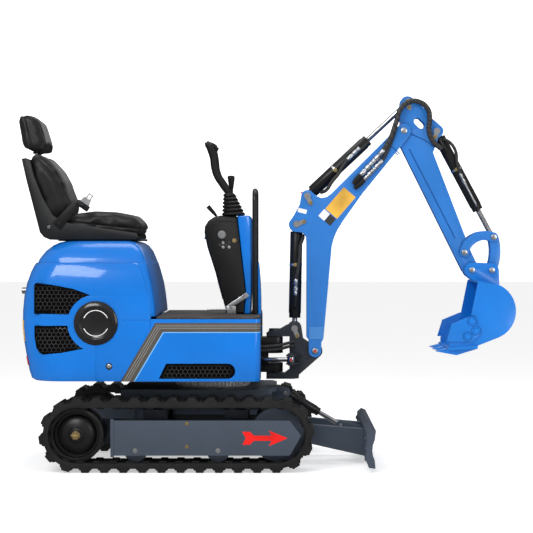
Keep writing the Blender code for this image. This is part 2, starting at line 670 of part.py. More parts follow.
def skirt_vent(side):
    outer = BODY_HALF - 0.002
    panel = plate(vent_outline(-TOUCH), *span(outer - 0.010, outer, side))
    back = plate([(-0.215, 0.405), (0.110, 0.405), (0.110, 0.486), (-0.200, 0.486)],
                 *span(outer - 0.012, BODY_HALF - WALL - TOUCH, side))
    return union(back, panel)


def platform():
    """Slew platform with the swing post at its front."""
    rear, front, half = -0.786, 0.218, BODY_HALF - WALL - 0.012
    plan = (arc((front - 0.030, half - 0.030), 0.030, 0, 90, 3) + arc((rear + 0.13, half - 0.13), 0.13, 90, 180, 6)
            + arc((rear + 0.13, 0.13 - half), 0.13, 180, 270, 6) + arc((front - 0.030, 0.030 - half), 0.030, 270, 360, 3))
    z0 = BODY_BOTTOM + 0.002
    z1 = z0 + PLATFORM_PLATE
    base = slab(plan, z0, z1)
    boss = rod((0, 0, SLEW_TOP + TOUCH), (0, 0, z0 + 0.004), SLEW_RADIUS - 0.012, 40)
    web = box(0.010, 0.262, -0.020, 0.020, z0 + 0.0125, 0.579)
    lower_lug = slab(hull([(KINGPIN_X, 0, 0.040), (0.200, 0, 0.026)], 16), z0 + 0.0125, 0.457)
    upper_lug = slab(hull([(KINGPIN_X, 0, 0.040), (0.200, 0, 0.055)], 16), 0.503, 0.579)
    post_y = (SKIRT_GAP_HALF - 0.0015 - SWING_POST_WALL, SKIRT_GAP_HALF - 0.0015)
    post = box(0.150, 0.215, *span(*post_y, -1), z0 + 0.004, 0.640)
    post_left = box(0.150, 0.215, *post_y, z0 + 0.004, 0.640)
    bridge = box(0.160, 0.212, -post_y[1] + 0.0005, post_y[1] - 0.0005, 0.579, 0.6405)
    ribs = []
    for side in (1, -1):
        ribs.append(box(-0.235, 0.190, *span(0.340, 0.352, side), z1 - 0.004, DECK_TOP - 0.0202))
    deck = box(-0.235, 0.216, -half, half, DECK_TOP - 0.020, DECK_TOP - TOUCH)
    bulkhead = box(-0.2352, -0.2232, -half + 0.002, half - 0.002, z1 - 0.004, DECK_TOP - 0.018)
    tower = box(SWING_BASE[0] - 0.024, SWING_BASE[0] + 0.022, SWING_BASE[1] - 0.024, SWING_BASE[1] + 0.024,
                z1 - 0.004, SWING_Z - 0.0205)
    body = union(base, boss, web, lower_lug, upper_lug, post, post_left, bridge, deck, bulkhead, *ribs, tower)
    pin = rod((*SWING_BASE, z1), (*SWING_BASE, SWING_Z + 0.020), 0.010)
    mount = box(-0.740, -0.440, -0.150, 0.150, z1 - 0.004, 0.4596)
    body = union(body, pin, mount)
    for z_low, z_high in ((0.380, 0.470), (0.500, 0.600)):
        body = cut(body, rod((KINGPIN_X, 0, z_low), (KINGPIN_X, 0, z_high), PIN_RADIUS + 0.004 + RUNNING, 28))
    return body


def floor_mat():
    half, front, corner = BODY_HALF - 0.001, SKIRT_FRONT - 0.001, 0.035
    rear = front_face_x(0.690) + 0.0025
    plan = ([(rear, half), (rear, -half)] + arc((front - corner, corner - half), corner, 270, 360, 5)
            + arc((front - corner, half - corner), corner, 0, 90, 5))
    return slab(plan, DECK_TOP + TOUCH, DECK_TOP + MAT_THICKNESS)


def engine_block():
    length, width, height = ENGINE_SIZE
    return box(ENGINE_CENTRE_X - length / 2, ENGINE_CENTRE_X + length / 2, -width / 2, width / 2, 0.460, 0.460 + height)


# ---------------------------------------------------------------- seat
def seat_rails():
    return box(-0.710, -0.370, -0.160, 0.160, HOOD_TOP + TOUCH, SEAT_BOTTOM - TOUCH)


def seat_shell():
    outer = [(-0.870, 1.408), (-0.850, 1.318), (-0.794, 1.101), (-0.786, 1.070), (-0.768, 1.048), (-0.740, SEAT_BOTTOM),
             (-0.345, SEAT_BOTTOM), (-0.333, 1.046), (-0.338, 1.066), (-0.655, 1.112), (-0.700, 1.130),
             (-0.727, 1.150), (-0.772, 1.230), (-0.812, 1.330), (-0.830, 1.400), (-0.850, 1.412)]
    pocket = [(-0.836, 1.440), (-0.838, 1.318), (-0.782, 1.108), (-0.764, 1.070), (-0.738, 1.052), (-0.320, 1.052),
              (-0.320, 1.200), (-0.600, 1.300), (-0.780, 1.440)]
    shell = plate(outer, -SEAT_HALF, SEAT_HALF)
    return cut(shell, plate(pocket, SEAT_SIDE - SEAT_HALF, SEAT_HALF - SEAT_SIDE))


def seat_cushion():
    half = SEAT_HALF - SEAT_SIDE - 0.0015
    side = [(-0.688, 1.0523), (-0.352, 1.0523), (-0.322, 1.062), (-0.307, 1.085), (-0.308, 1.110), (-0.345, 1.141),
            (-0.434, 1.158), (-0.540, 1.163), (-0.640, 1.150), (-0.690, 1.132)]
    return plate(side, -half, half)


def seat_backrest():
    half = SEAT_HALF - SEAT_SIDE - 0.0015
    side = [(-0.7813, 1.108), (-0.760, 1.078), (-0.700, 1.095), (-0.694, 1.137), (-0.655, 1.156), (-0.652, 1.195),
            (-0.668, 1.240), (-0.692, 1.306), (-0.722, 1.360), (-0.755, 1.397), (-0.782, 1.425), (-0.800, 1.440),
            (-0.826, 1.440), (-0.834, 1.430), (-0.8360, 1.400), (-0.8374, 1.318)]
    return plate(side, -half, half)


def headrest():
    side = [(HEADREST_REAR, 1.608), (-0.892, 1.620), (-0.854, 1.6205), (-0.820, 1.606), (-0.805, 1.585), (-0.786, 1.530),
            (-0.772, 1.479), (-0.776, 1.452), (-0.800, 1.4475), (-0.868, 1.456), (-0.880, 1.480)]
    pad = plate(side, -0.140, 0.140)
    return union(pad, *[rod((-0.815, y, 1.440 + TOUCH), (-0.815, y, 1.470), 0.007, 12) for y in (-0.05, 0.05)])


# ---------------------------------------------------------------- console
def console_body():
    deck = DECK_TOP + MAT_THICKNESS + TOUCH
    side = [(0.066, deck), (0.150, deck), (0.157, 0.800), (0.117, CONSOLE_TOP), (0.040, CONSOLE_TOP), (0.008, 1.142), (-0.018, 1.125), (-0.034, 1.098), (-0.036, 1.070), (-0.022, 1.000), (0.026, 0.850),
            (0.058, 0.730)]
    return plate(side, -CONSOLE_HALF, CONSOLE_HALF)


def console_cover():
    deck = DECK_TOP + MAT_THICKNESS + TOUCH
    gap = 0.0006
    side = [(0.150 + gap, deck), (0.180, deck), (0.1835, 0.800), (0.1835, CONSOLE_TOP - 0.012), (0.176, CONSOLE_TOP),
            (0.117 + gap, CONSOLE_TOP), (0.157 + gap, 0.800)]
    return plate(side, -CONSOLE_HALF, CONSOLE_HALF)


def front_panel():
    deck = DECK_TOP + MAT_THICKNESS + TOUCH
    side = [(0.2150, deck), (0.2275, deck), (0.2270, 0.760), (0.2235, 0.850), (0.2165, 0.930), (0.2140, 0.930),
            (0.2142, 0.850)]
    return plate(side, -HOOP_HALF + 0.002, HOOP_HALF - 0.002)


def guard_hoop():
    deck = DECK_TOP + MAT_THICKNESS + TOUCH
    bend, top = 0.050, HOOP_TOP - HOOP_RADIUS
    half = HOOP_HALF
    path = [(-half, deck)] + arc((bend - half, top - bend), bend, 180, 90, 6) + arc((half - bend, top - bend), bend, 90, 0, 6)
    path.append((half, deck))
    curve = bpy.data.curves.new("hoop", "CURVE")
    curve.dimensions = "3D"
    curve.bevel_depth = HOOP_RADIUS
    curve.bevel_resolution = 4
    curve.use_fill_caps = True
    spline = curve.splines.new("POLY")
    spline.points.add(len(path) - 1)
    for point, (y, z) in zip(spline.points, path):
        point.co = (HOOP_X, y, z, 1)
    made = bpy.data.objects.new("hoop", curve)
    PARTS.objects.link(made)
    return baked(made)


def swept(points, segments=12):
    """A round piece along (x, y, z, radius) stations, as cones joined end to end."""
    bm = bmesh.new()
    rings = []
    for i, (x, y, z, r) in enumerate(points):
        before, after = points[max(i - 1, 0)], points[min(i + 1, len(points) - 1)]
        along = Vector(after[:3]) - Vector(before[:3])
        turn = along.to_track_quat("Z", "Y").to_matrix().to_4x4()
        ring = bmesh.ops.create_circle(bm, segments=segments, radius=r,
                                       matrix=Matrix.Translation((x, y, z)) @ turn)["verts"]
        rings.append(ring)
    for low, high in zip(rings, rings[1:]):
        for i in range(segments):
            j = (i + 1) % segments
            bm.faces.new((low[i], low[j], high[j], high[i]))
    bm.faces.new(rings[0][::-1])
    bm.faces.new(rings[-1])
    return baked(from_bmesh(bm))


def joystick(y):
    bellows = rod((0.099, y, CONSOLE_TOP - 0.020), (0.078, y, 1.252), 0.050, 18, 0.024)
    bellows = cut(bellows, box(0, 0.3, y - 0.1, y + 0.1, CONSOLE_TOP - 0.1, CONSOLE_TOP + TOUCH))
    grip = swept([(0.080, y, 1.245, 0.016), (0.058, y, 1.285, 0.018), (0.028, y, 1.325, 0.0175), (0.012, y, 1.370, 0.0175),
                  (0.004, y, 1.430, 0.0185), (-0.010, y, 1.472, 0.021), (-0.020, y, 1.488, 0.014)], 14)
    return union(bellows, grip)


def travel_levers():
    base_z = CONSOLE_TOP + TOUCH
    pieces = [box(0.062, 0.112, -0.030, 0.030, base_z, base_z + 0.010)]
    for y in (-0.018, 0.018):
        pieces.append(swept([(0.088, y, base_z + 0.004, 0.006), (0.088, y, 1.250, 0.006), (0.088, y, 1.285, 0.012),
                             (0.086, y, 1.318, 0.0155), (0.085, y, 1.330, 0.012)], 12))
    return union(*pieces)


# ---------------------------------------------------------------- swing bracket
def swing_bracket():
    outline = [(0.361, 0.425), (0.361, 0.582), (0.252, 0.582), (0.262, 0.606), (0.306, 0.610), (0.348, 0.634),
               *arc(PIN_BOOM_ROD, 0.0335, 150, 15, 8), (0.426, 0.571), (0.449, 0.555), (0.481, 0.5495),
               *arc(PIN_FOOT, 0.0355, 80, -38, 8), (0.384, 0.382), (0.252, 0.382), (0.252, 0.409), (0.340, 0.409)]
    pin_r = PIN_RADIUS + 0.004
    pieces = []
    for side in (1, -1):
        pieces.append(plate(outline, *span(EAR_INNER, BRACKET_OUTER, side)))
        pieces.append(cross_rod(PIN_BOOM_ROD, *span(BRACKET_OUTER - 0.001, BRACKET_OUTER + PIN_HEAD, side), 0.016))
        web = [(0.362, 0.4085), (0.362, 0.556), (0.374, 0.556), (0.374, 0.4085)]
    inner = EAR_INNER + 0.002
    pieces.append(plate(web, -inner, inner))
    top_boss = slab(hull([(KINGPIN_X, 0, 0.038), (0.310, 0, 0.036)], 16), 0.5825, 0.600)
    low_boss = slab(hull([(KINGPIN_X, 0, 0.038), (0.370, 0, 0.036)], 16), 0.3825, 0.4085)
    cap = rod((KINGPIN_X, 0, 0.598), (KINGPIN_X, 0, 0.618), 0.026, 20)
    pins = [rod((KINGPIN_X, 0, 0.506), (KINGPIN_X, 0, 0.590), pin_r, 24),
            rod((KINGPIN_X, 0, 0.400), (KINGPIN_X, 0, 0.454), pin_r, 24)]
    foot_pin = cross_rod(PIN_FOOT, -BOOM_HALF - PIN_HEAD, BOOM_HALF + PIN_HEAD, PIN_RADIUS, 16)
    x, y = SWING_EYE
    ear = [(0.350, -BRACKET_OUTER + 0.004), (0.350, y + 0.010), *arc((x, y), 0.022, 160, 340, 8), (0.410, -0.060),
           (0.420, -BRACKET_OUTER + 0.004)]
    lugs = [slab(ear, SWING_Z + 0.015, SWING_Z + 0.023), slab(ear, SWING_Z - 0.023, SWING_Z - 0.015)]
    heads = [rod((x, y, SWING_Z + 0.022), (x, y, SWING_Z + 0.030), 0.013, 16),
             rod((x, y, SWING_Z - 0.028), (x, y, SWING_Z - 0.022), 0.013, 16)]
    tie = cross_rod((0.440, 0.500), -inner, inner, 0.012, 12)
    return union(*pieces, top_boss, low_boss, cap, *pins, foot_pin, *lugs, *heads, tie)


def swing_cylinder():
    base = Vector((*SWING_BASE, SWING_Z))
    eye = Vector((*SWING_EYE, SWING_Z))
    reach, shortest, length = 0.130, 0.056, 0.290
    along = (eye - base).normalized()
    barrel = union(rod(base + along * 0.034, base + along * length, SWING_BARREL_RADIUS, 24),
                   rod(base - Vector((0, 0, 0.020)), base + Vector((0, 0, 0.014)), 0.024, 20),
                   rod(base, base + along * 0.040, 0.013, 16))
    barrel = cut(barrel, rod(base + along * (shortest - 0.004), base + along * (length + 0.05),
                             SWING_ROD_RADIUS + RUNNING, 24),
                 rod(base - Vector((0, 0, 0.03)), base + Vector((0, 0, 0.03)), 0.010 + RUNNING, 24))
    stem = rod(base + along * reach, eye, SWING_ROD_RADIUS, 20)
    return barrel, union(stem, rod(eye - Vector((0, 0, 0.0125)), eye + Vector((0, 0, 0.0125)), 0.019, 20))


# ---------------------------------------------------------------- boom, arm and bucket
def boom():
    foot = arc(PIN_FOOT, 0.0295, 180, 360, 10)
    nose = arc(PIN_ARM, 0.034, -46, 132, 12)
    arm_ear = arc(PIN_ARM_BARREL, 0.029, 40, 180, 8)
    boom_ear = arc(PIN_BOOM_BARREL, 0.037, 165, 280, 8)
    outline = (foot + [(0.5115, 0.556), (0.5205, 0.572), (0.560, 1.008), (0.571, 1.048), (0.587, 1.084), (0.612, 1.124),
                       (0.702, 1.251), (0.869, 1.456)]
               + nose + [(0.8055, 1.501), (0.560, 1.256), (0.536, 1.238), (0.510, 1.233), (0.487, 1.243)] + arm_ear
               + [(0.4096, 1.2035), (0.381, 1.151)] + boom_ear + [(0.424, 1.070), (0.440, 1.050), (0.441, 1.020),
                                                                  (0.441, 0.580), (0.4515, 0.566)])
    body = plate(outline, -BOOM_HALF, BOOM_HALF)
    foot_slot = box(0.40, 0.56, -FORK_INNER, FORK_INNER, 0.45, 0.5735)
    ear_slot = plate([(0.30, 1.02), (0.4395, 1.02), (0.4395, 1.095), (0.480, 1.175), (0.535, 1.2345), (0.60, 1.40),
                      (0.30, 1.40)], -EAR_INNER, EAR_INNER)
    back = 0.118
    along = Vector((PIN_ARM[0] - 0.727, PIN_ARM[1] - 1.343)).normalized()
    across = Vector((-along.y, along.x))
    start = Vector(PIN_ARM) - along * back
    corners = [start + across * 0.12, start - across * 0.12, start - across * 0.12 + along * 0.25,
               start + across * 0.12 + along * 0.25]
    nose_slot = plate([(c.x, c.y) for c in corners][::-1], -FORK_INNER, FORK_INNER)
    body = cut(body, foot_slot, ear_slot, nose_slot, cross_rod(PIN_FOOT, -0.1, 0.1, PIN_RADIUS + RUNNING, 20))
    pins = [cross_rod(p, -BOOM_HALF - PIN_HEAD, BOOM_HALF + PIN_HEAD, PIN_RADIUS, 16)
            for p in (PIN_BOOM_BARREL, PIN_ARM_BARREL, PIN_ARM)]
    return union(body, *pins)


def arm():
    head = arc((0.9165, 1.679), 0.034, 180, 30, 8)
    barrel_ear = arc(PIN_BUCKET_BARREL, 0.031, 45, -75, 7)
    tail = arc(PIN_BUCKET, 0.033, 25, -150, 9)
    outline = ([(0.8825, 1.482)] + head + [(0.975, 1.675), (1.010, 1.640), (1.028, 1.612)] + barrel_ear
               + [(1.056, 1.500), (1.037, 1.4475), (1.1764, 1.0826), (1.2154, 0.981), (1.240, 0.930)] + tail
               + [(1.176, 0.890), (1.0805, 1.0826)])
    body = plate(outline, -ARM_HALF, ARM_HALF)
    slot = plate([(0.80, 1.80), (0.80, 1.600), (0.930, 1.590), (0.968, 1.555), (1.002, 1.490), (1.15, 1.40), (1.20, 1.80)],
                 -EAR_INNER, EAR_INNER)
    bean = hull([(0.963, 1.594, 0.0165), (0.981, 1.576, 0.0165)], 20)
    body = cut(body, slot, plate(bean, -0.1, 0.1))
    bores = [cross_rod(p, -0.1, 0.1, PIN_RADIUS + RUNNING, 20) for p in (PIN_ARM, PIN_ROCKER, PIN_BUCKET)]
    body = cut(body, *bores)
    pin = cross_rod(PIN_BUCKET_BARREL, -ARM_HALF - PIN_HEAD, ARM_HALF + PIN_HEAD, PIN_RADIUS, 16)
    heads = [cross_rod(PIN_ARM_ROD, *span(ARM_HALF - 0.001, ARM_HALF + PIN_HEAD, side), 0.015, 20) for side in (1, -1)]
    return union(body, pin, *heads)


def band(start, end, sagitta, half_width, steps=12):
    """Side outline of a curved strap between two pins, bulging to its left by sagitta."""
    a, b = Vector(start), Vector(end)
    chord = b - a
    side = Vector((-chord.y, chord.x)).normalized()
    half = chord.length / 2
    radius = (half * half + sagitta * sagitta) / (2 * sagitta)
    centre = (a + b) / 2 + side * (sagitta - radius)
    first = degrees(atan2(a.y - centre.y, a.x - centre.x))
    last = degrees(atan2(b.y - centre.y, b.x - centre.x))
    while last > first:
        last -= 360
    outer = arc(centre, radius + half_width, first, last, steps)
    inner = arc(centre, radius - half_width, last, first, steps)
    end_cap = arc(b, half_width, last, last - 180, 6)[1:-1]
    start_cap = arc(a, half_width, first + 180, first, 6)[1:-1]
    return outer + end_cap + inner + start_cap


def rocker():
    outline = band(PIN_ROCKER, PIN_LINK_TOP, 0.037, 0.0215)
    plates = [plate(outline, *span(*ROCKER_Y, side)) for side in (1, -1)]
    heads = [cross_rod(PIN_LINK_TOP, *span(ROCKER_Y[1] - 0.001, ROCKER_Y[1] + PIN_HEAD, side), 0.014, 20)
             for side in (1, -1)]
    pin = cross_rod(PIN_ROCKER, -ROCKER_Y[1] - PIN_HEAD, ROCKER_Y[1] + PIN_HEAD, PIN_RADIUS, 16)
    return union(pin, *plates, *heads)


def bucket_link():
    outline = band(PIN_LINK_TOP, PIN_LINK_BOTTOM, 0.014, 0.0235)
    plates = [plate(outline, *span(*LINK_Y, side)) for side in (1, -1)]
    tube = cross_rod(PIN_LINK_BOTTOM, -LINK_Y[1], LINK_Y[1], 0.0225, 24)
    link = union(tube, *plates)
    return cut(link, cross_rod(PIN_LINK_BOTTOM, -0.1, 0.1, PIN_RADIUS + RUNNING, 20))


def bucket_side(grow):
    """Side profile of the bucket's shell; grow moves the rounded back outwards."""
    middle = (1.270, 0.708)
    sweep = arc(middle, 0.1325 + grow, 62, -72, 14)
    return sweep


def bucket():
    back = bucket_side(0)
    outer = [(1.228, 0.846)] + back + [(1.224, 0.5475), (1.095, 0.528), (1.095, 0.566), (1.188, 0.640), (1.197, 0.693)]
    shell = plate(outer[::-1], -BUCKET_HALF, BUCKET_HALF)
    inner_back = bucket_side(-BUCKET_SHEET)
    hollow = [(1.150, 0.838), (1.236, 0.838)] + inner_back + [(1.224, 0.5600), (1.092, 0.5400), (1.000, 0.540),
                                                              (1.000, 0.838)]
    shell = cut(shell, plate(hollow[::-1], BUCKET_SHEET - BUCKET_HALF, BUCKET_HALF - BUCKET_SHEET))
    pieces = []
    ear = hull([(*PIN_BUCKET, 0.036), (*PIN_LINK_BOTTOM, 0.033), (1.316, 0.826, 0.031), (1.236, 0.850, 0.012)], 16)
    for side in (1, -1):
        pieces.append(plate(ear, *span(*EAR_Y, side)))
        cutter = [(1.105, 0.649), (1.189, 0.684), (1.234, 0.632), (1.237, 0.603), (1.197, 0.5675), (1.081, 0.570)]
        pieces.append(plate(cutter[::-1], *span(BUCKET_HALF - 0.002, BUCKET_HALF + 0.012, side)))
    pins = [cross_rod(p, -EAR_Y[1] - PIN_HEAD, EAR_Y[1] + PIN_HEAD, PIN_RADIUS, 16) for p in (PIN_BUCKET, PIN_LINK_BOTTOM)]
    lip = plate([(1.090, 0.528), (1.226, 0.536), (1.226, 0.552), (1.086, 0.541)], -BUCKET_HALF - 0.006, BUCKET_HALF + 0.006)
    pieces.append(lip)
    tooth = [(1.037, 0.521), (1.130, 0.504), (1.228, 0.534), (1.222, 0.543), (1.120, 0.545)]
    for y in (-0.165, 0.0, 0.165):
        pieces.append(plate(tooth, y - 0.030, y + 0.030))
    return union(shell, *pieces, *pins)


# ---------------------------------------------------------------- assembly
def build():
    bodies = {}

    def place(node, body, name, spec, smooth=35):
        bodies.setdefault(body, []).append(finish(node, name, spec, smooth))

    place(centre_frame(), "undercarriage", "centre_frame", SLATE)
    place(slew_ring(), "undercarriage", "slew_ring", STEEL)
    for side, word in ((1, "left"), (-1, "right")):
        place(track_frame(side), "undercarriage", f"track_frame_{word}", SLATE)
        place(rubber_track(side), "undercarriage", f"rubber_track_{word}", RUBBER)
        place(sprocket(side), "undercarriage", f"drive_wheel_{word}", BLACK)

    place(dozer_blade(), "blade", "dozer_blade", SLATE)
    barrel, stem = cylinder_pair(BLADE_BASE_PIN, BLADE_ROD_PIN, BLADE_BARREL_LENGTH, BLADE_BARREL_RADIUS,
                                 BLADE_ROD_RADIUS, (0.102, 0.034), 0.015, 0.018, 0.009)
    place(barrel, "blade_cylinder", "blade_cylinder_barrel", BLACK)
    place(stem, "blade_rod", "blade_cylinder_rod", CHROME)

    place(platform(), "upper", "platform", BLACK)
    place(floor_mat(), "upper", "floor_mat", MAT)
    place(engine_block(), "upper", "engine_block", STEEL)
    master = hood_master()
    place(engine_hood(master), "upper", "engine_hood", BLUE)
    place(seat_plinth(master), "upper", "seat_plinth", BLUE)
    place(rear_door(master), "rear_door", "rear_door", BLUE)
    for side, word in ((1, "left"), (-1, "right")):
        place(side_cover(master, side), "upper", f"side_cover_{word}", BLUE)
        place(side_grille(side), "upper", f"side_grille_{word}", PLASTIC)
        place(skirt(side), "upper", f"deck_skirt_{word}", BLUE)
        place(skirt_vent(side), "upper", f"skirt_vent_{word}", PLASTIC)
    bpy.data.objects.remove(master, do_unlink=True)

    place(seat_rails(), "upper", "seat_rails", BLACK)
    place(seat_shell(), "upper", "seat_shell", PLASTIC)
    place(seat_cushion(), "upper", "seat_cushion", VINYL)
    place(seat_backrest(), "upper", "seat_backrest", VINYL)
    place(headrest(), "upper", "headrest", VINYL)
    place(console_body(), "upper", "console_body", PLASTIC)
    place(console_cover(), "upper", "console_cover", BLUE)
    place(front_panel(), "upper", "front_panel", BLUE)
    place(guard_hoop(), "upper", "guard_hoop", BLACK)
    place(joystick(JOYSTICK_Y), "upper", "joystick_left", PLASTIC)
    place(joystick(-JOYSTICK_Y), "upper", "joystick_right", PLASTIC)
    place(travel_levers(), "upper", "travel_levers", PLASTIC)

    place(swing_bracket(), "swing_bracket", "swing_bracket", SLATE)
    barrel, stem = swing_cylinder()
    place(barrel, "swing_cylinder", "swing_cylinder_barrel", BLACK)
    place(stem, "swing_rod", "swing_cylinder_rod", CHROME)

    place(boom(), "boom", "boom", BLUE_ARM)
    barrel, stem = cylinder_pair(PIN_BOOM_BARREL, PIN_BOOM_ROD, BOOM_BARREL_LENGTH, CYL_BARREL_RADIUS, ROD_RADIUS,
                                 (0.060, 0.058), EYE_HALF, EYE_RADIUS, PIN_RADIUS)
    place(barrel, "boom_cylinder", "boom_cylinder_barrel", BLACK)
    place(stem, "boom_rod", "boom_cylinder_rod", CHROME)
    place(arm(), "arm", "arm", BLUE_ARM)
    barrel, stem = cylinder_pair(PIN_ARM_BARREL, PIN_ARM_ROD, ARM_BARREL_LENGTH, CYL_BARREL_RADIUS, ROD_RADIUS,
                                 (0.260, 0.064), EYE_HALF, EYE_RADIUS, PIN_RADIUS)
    place(barrel, "arm_cylinder", "arm_cylinder_barrel", BLACK)
    place(stem, "arm_rod", "arm_cylinder_rod", CHROME)
    barrel, stem = cylinder_pair(PIN_BUCKET_BARREL, PIN_LINK_TOP, BUCKET_BARREL_LENGTH, BUCKET_BARREL_RADIUS, ROD_RADIUS,
                                 (0.170, 0.085), EYE_HALF, EYE_RADIUS - 0.003, PIN_RADIUS)
    place(barrel, "bucket_cylinder", "bucket_cylinder_barrel", BLACK)
    place(stem, "bucket_rod", "bucket_cylinder_rod", CHROME)
    place(rocker(), "rocker", "bucket_rocker", BLUE_ARM)
    place(bucket_link(), "bucket_link", "bucket_link", BLUE_ARM)
    place(bucket(), "bucket", "bucket", BLUE_ARM)
    return bodies


def pivots():
    """Each moving body's parent and the point on its joint axis that its pieces hang from."""
    def at(pin):
        return (pin[0], 0, pin[1])
    swing_base = (*SWING_BASE, SWING_Z)
    return {
        "undercarriage": (None, (0, 0, 0)),
        "blade": ("undercarriage", at(BLADE_PIVOT)),
        "blade_cylinder": ("undercarriage", at(BLADE_BASE_PIN)),
        "blade_rod": ("blade_cylinder", at(BLADE_ROD_PIN)),
        "upper": ("undercarriage", (0, 0, SLEW_TOP)),
        "rear_door": ("upper", (HINGE_X, DOOR_HALF + DOOR_GAP + 0.006, HINGE_Z[0])),
        "swing_bracket": ("upper", (KINGPIN_X, 0, SWING_Z)),
        "swing_cylinder": ("upper", swing_base),
        "swing_rod": ("swing_cylinder", (*SWING_EYE, SWING_Z)),
        "boom": ("swing_bracket", at(PIN_FOOT)),
        "boom_cylinder": ("boom", at(PIN_BOOM_BARREL)),
        "boom_rod": ("boom_cylinder", at(PIN_BOOM_ROD)),
        "arm": ("boom", at(PIN_ARM)),
        "arm_cylinder": ("boom", at(PIN_ARM_BARREL)),
        "arm_rod": ("arm_cylinder", at(PIN_ARM_ROD)),
        "bucket_cylinder": ("arm", at(PIN_BUCKET_BARREL)),
        "bucket_rod": ("bucket_cylinder", at(PIN_LINK_TOP)),
        "rocker": ("arm", at(PIN_ROCKER)),
        "bucket": ("arm", at(PIN_BUCKET)),
        "bucket_link": ("bucket", at(PIN_LINK_BOTTOM)),
    }


def assemble(bodies):
    """Hangs every piece from an empty on its body's joint axis, under one root empty."""
    root = bpy.data.objects.new("mini_excavator_root", None)
    PARTS.objects.link(root)
    root.location = (SHIFT_X, 0, 0)
    made = {}
    for body, (parent, point) in pivots().items():
        empty = bpy.data.objects.new(f"{body}_pivot", None)
        PARTS.objects.link(empty)
        above = Vector((0, 0, 0)) if parent is None else Vector(pivots()[parent][1])
        empty.parent = root if parent is None else made[parent]
        empty.location = Vector(point) - above
        made[body] = empty
        for piece in bodies[body]:
            piece.data.transform(Matrix.Translation(-Vector(point)))
            piece.parent = empty
    bpy.context.view_layer.update()


for old in list(bpy.data.objects):
    bpy.data.objects.remove(old, do_unlink=True)
PARTS = new_collection("mini_excavator")
CUTTERS = new_collection("cutters")
assemble(build())
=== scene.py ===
import json
import math
import bpy
import bmesh
from mathutils import Matrix, Vector
from mathutils.bvhtree import BVHTree


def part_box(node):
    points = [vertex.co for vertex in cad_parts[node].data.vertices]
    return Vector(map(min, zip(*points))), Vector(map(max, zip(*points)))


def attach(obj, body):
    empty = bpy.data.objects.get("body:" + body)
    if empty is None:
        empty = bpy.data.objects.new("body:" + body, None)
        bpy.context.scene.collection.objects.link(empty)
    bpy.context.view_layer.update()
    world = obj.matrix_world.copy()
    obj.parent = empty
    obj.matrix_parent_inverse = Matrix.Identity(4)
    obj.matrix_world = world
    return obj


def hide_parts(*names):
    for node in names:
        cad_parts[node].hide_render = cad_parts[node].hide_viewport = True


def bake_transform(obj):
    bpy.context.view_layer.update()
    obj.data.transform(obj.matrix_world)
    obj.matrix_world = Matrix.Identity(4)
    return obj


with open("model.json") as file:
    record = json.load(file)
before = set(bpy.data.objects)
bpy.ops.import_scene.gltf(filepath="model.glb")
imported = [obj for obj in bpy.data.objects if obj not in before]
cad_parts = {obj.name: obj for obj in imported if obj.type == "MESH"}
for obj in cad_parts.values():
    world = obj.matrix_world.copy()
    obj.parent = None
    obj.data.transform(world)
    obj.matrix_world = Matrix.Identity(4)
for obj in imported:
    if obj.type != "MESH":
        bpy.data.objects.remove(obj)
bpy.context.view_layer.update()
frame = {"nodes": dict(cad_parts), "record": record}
nodes = frame["nodes"]
print("stage: frame loaded,", len(nodes), "nodes")

ringLow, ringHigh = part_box("slew_ring")
slewX = (ringLow[0] + ringHigh[0]) / 2  # x of the slew axis; everything below is given from it
bodyOf = {}
for body, members in frame["record"]["behaviour"]["bodies"].items():
    for member in members:
        bodyOf[member] = body

# pins of the front linkage, (x, z) from the slew axis
pins = {
    "foot": (0.481, 0.514), "boomRod": (0.385, 0.6195), "boomBarrel": (0.395, 1.110),
    "armBarrel": (0.445, 1.242), "arm": (0.899, 1.549), "armRod": (0.921, 1.687),
    "bucketBarrel": (1.055, 1.548), "rocker": (1.1825, 0.977), "bucket": (1.218, 0.894),
    "linkTop": (1.321, 1.049), "linkBottom": (1.312, 0.893),
    "bladePivot": (0.300, 0.160), "bladeBase": (0.341, 0.316), "bladeRod": (0.602, 0.162),
}


bothSides = ((1, "Left"), (-1, "Right"))


def at(x, y, z):
    return Vector((x + slewX, y, z))


# ---- shader maths on sockets
class Link:
    def __init__(self, tree, socket):
        self.tree = tree
        self.socket = socket

    def math(self, operation, other=None, flipped=False):
        made = self.tree.nodes.new("ShaderNodeMath")
        made.operation = operation
        values = [other, self] if flipped else [self, other]
        for place, value in zip(made.inputs, values):
            if isinstance(value, Link):
                self.tree.links.new(value.socket, place)
            elif value is not None:
                place.default_value = value
        return Link(self.tree, made.outputs[0])

    def __add__(self, other): return self.math("ADD", other)
    def __radd__(self, other): return self.math("ADD", other)
    def __sub__(self, other): return self.math("SUBTRACT", other)
    def __rsub__(self, other): return self.math("SUBTRACT", other, True)
    def __mul__(self, other): return self.math("MULTIPLY", other)
    def __rmul__(self, other): return self.math("MULTIPLY", other)
    def __gt__(self, other): return self.math("GREATER_THAN", other)
    def __lt__(self, other): return self.math("LESS_THAN", other)
    def lowest(self, other): return self.math("MINIMUM", other)
    def size(self): return self.math("ABSOLUTE")
    def rest(self): return self.math("FRACT")
    def between(self, low, high): return (self > low) * (self < high)


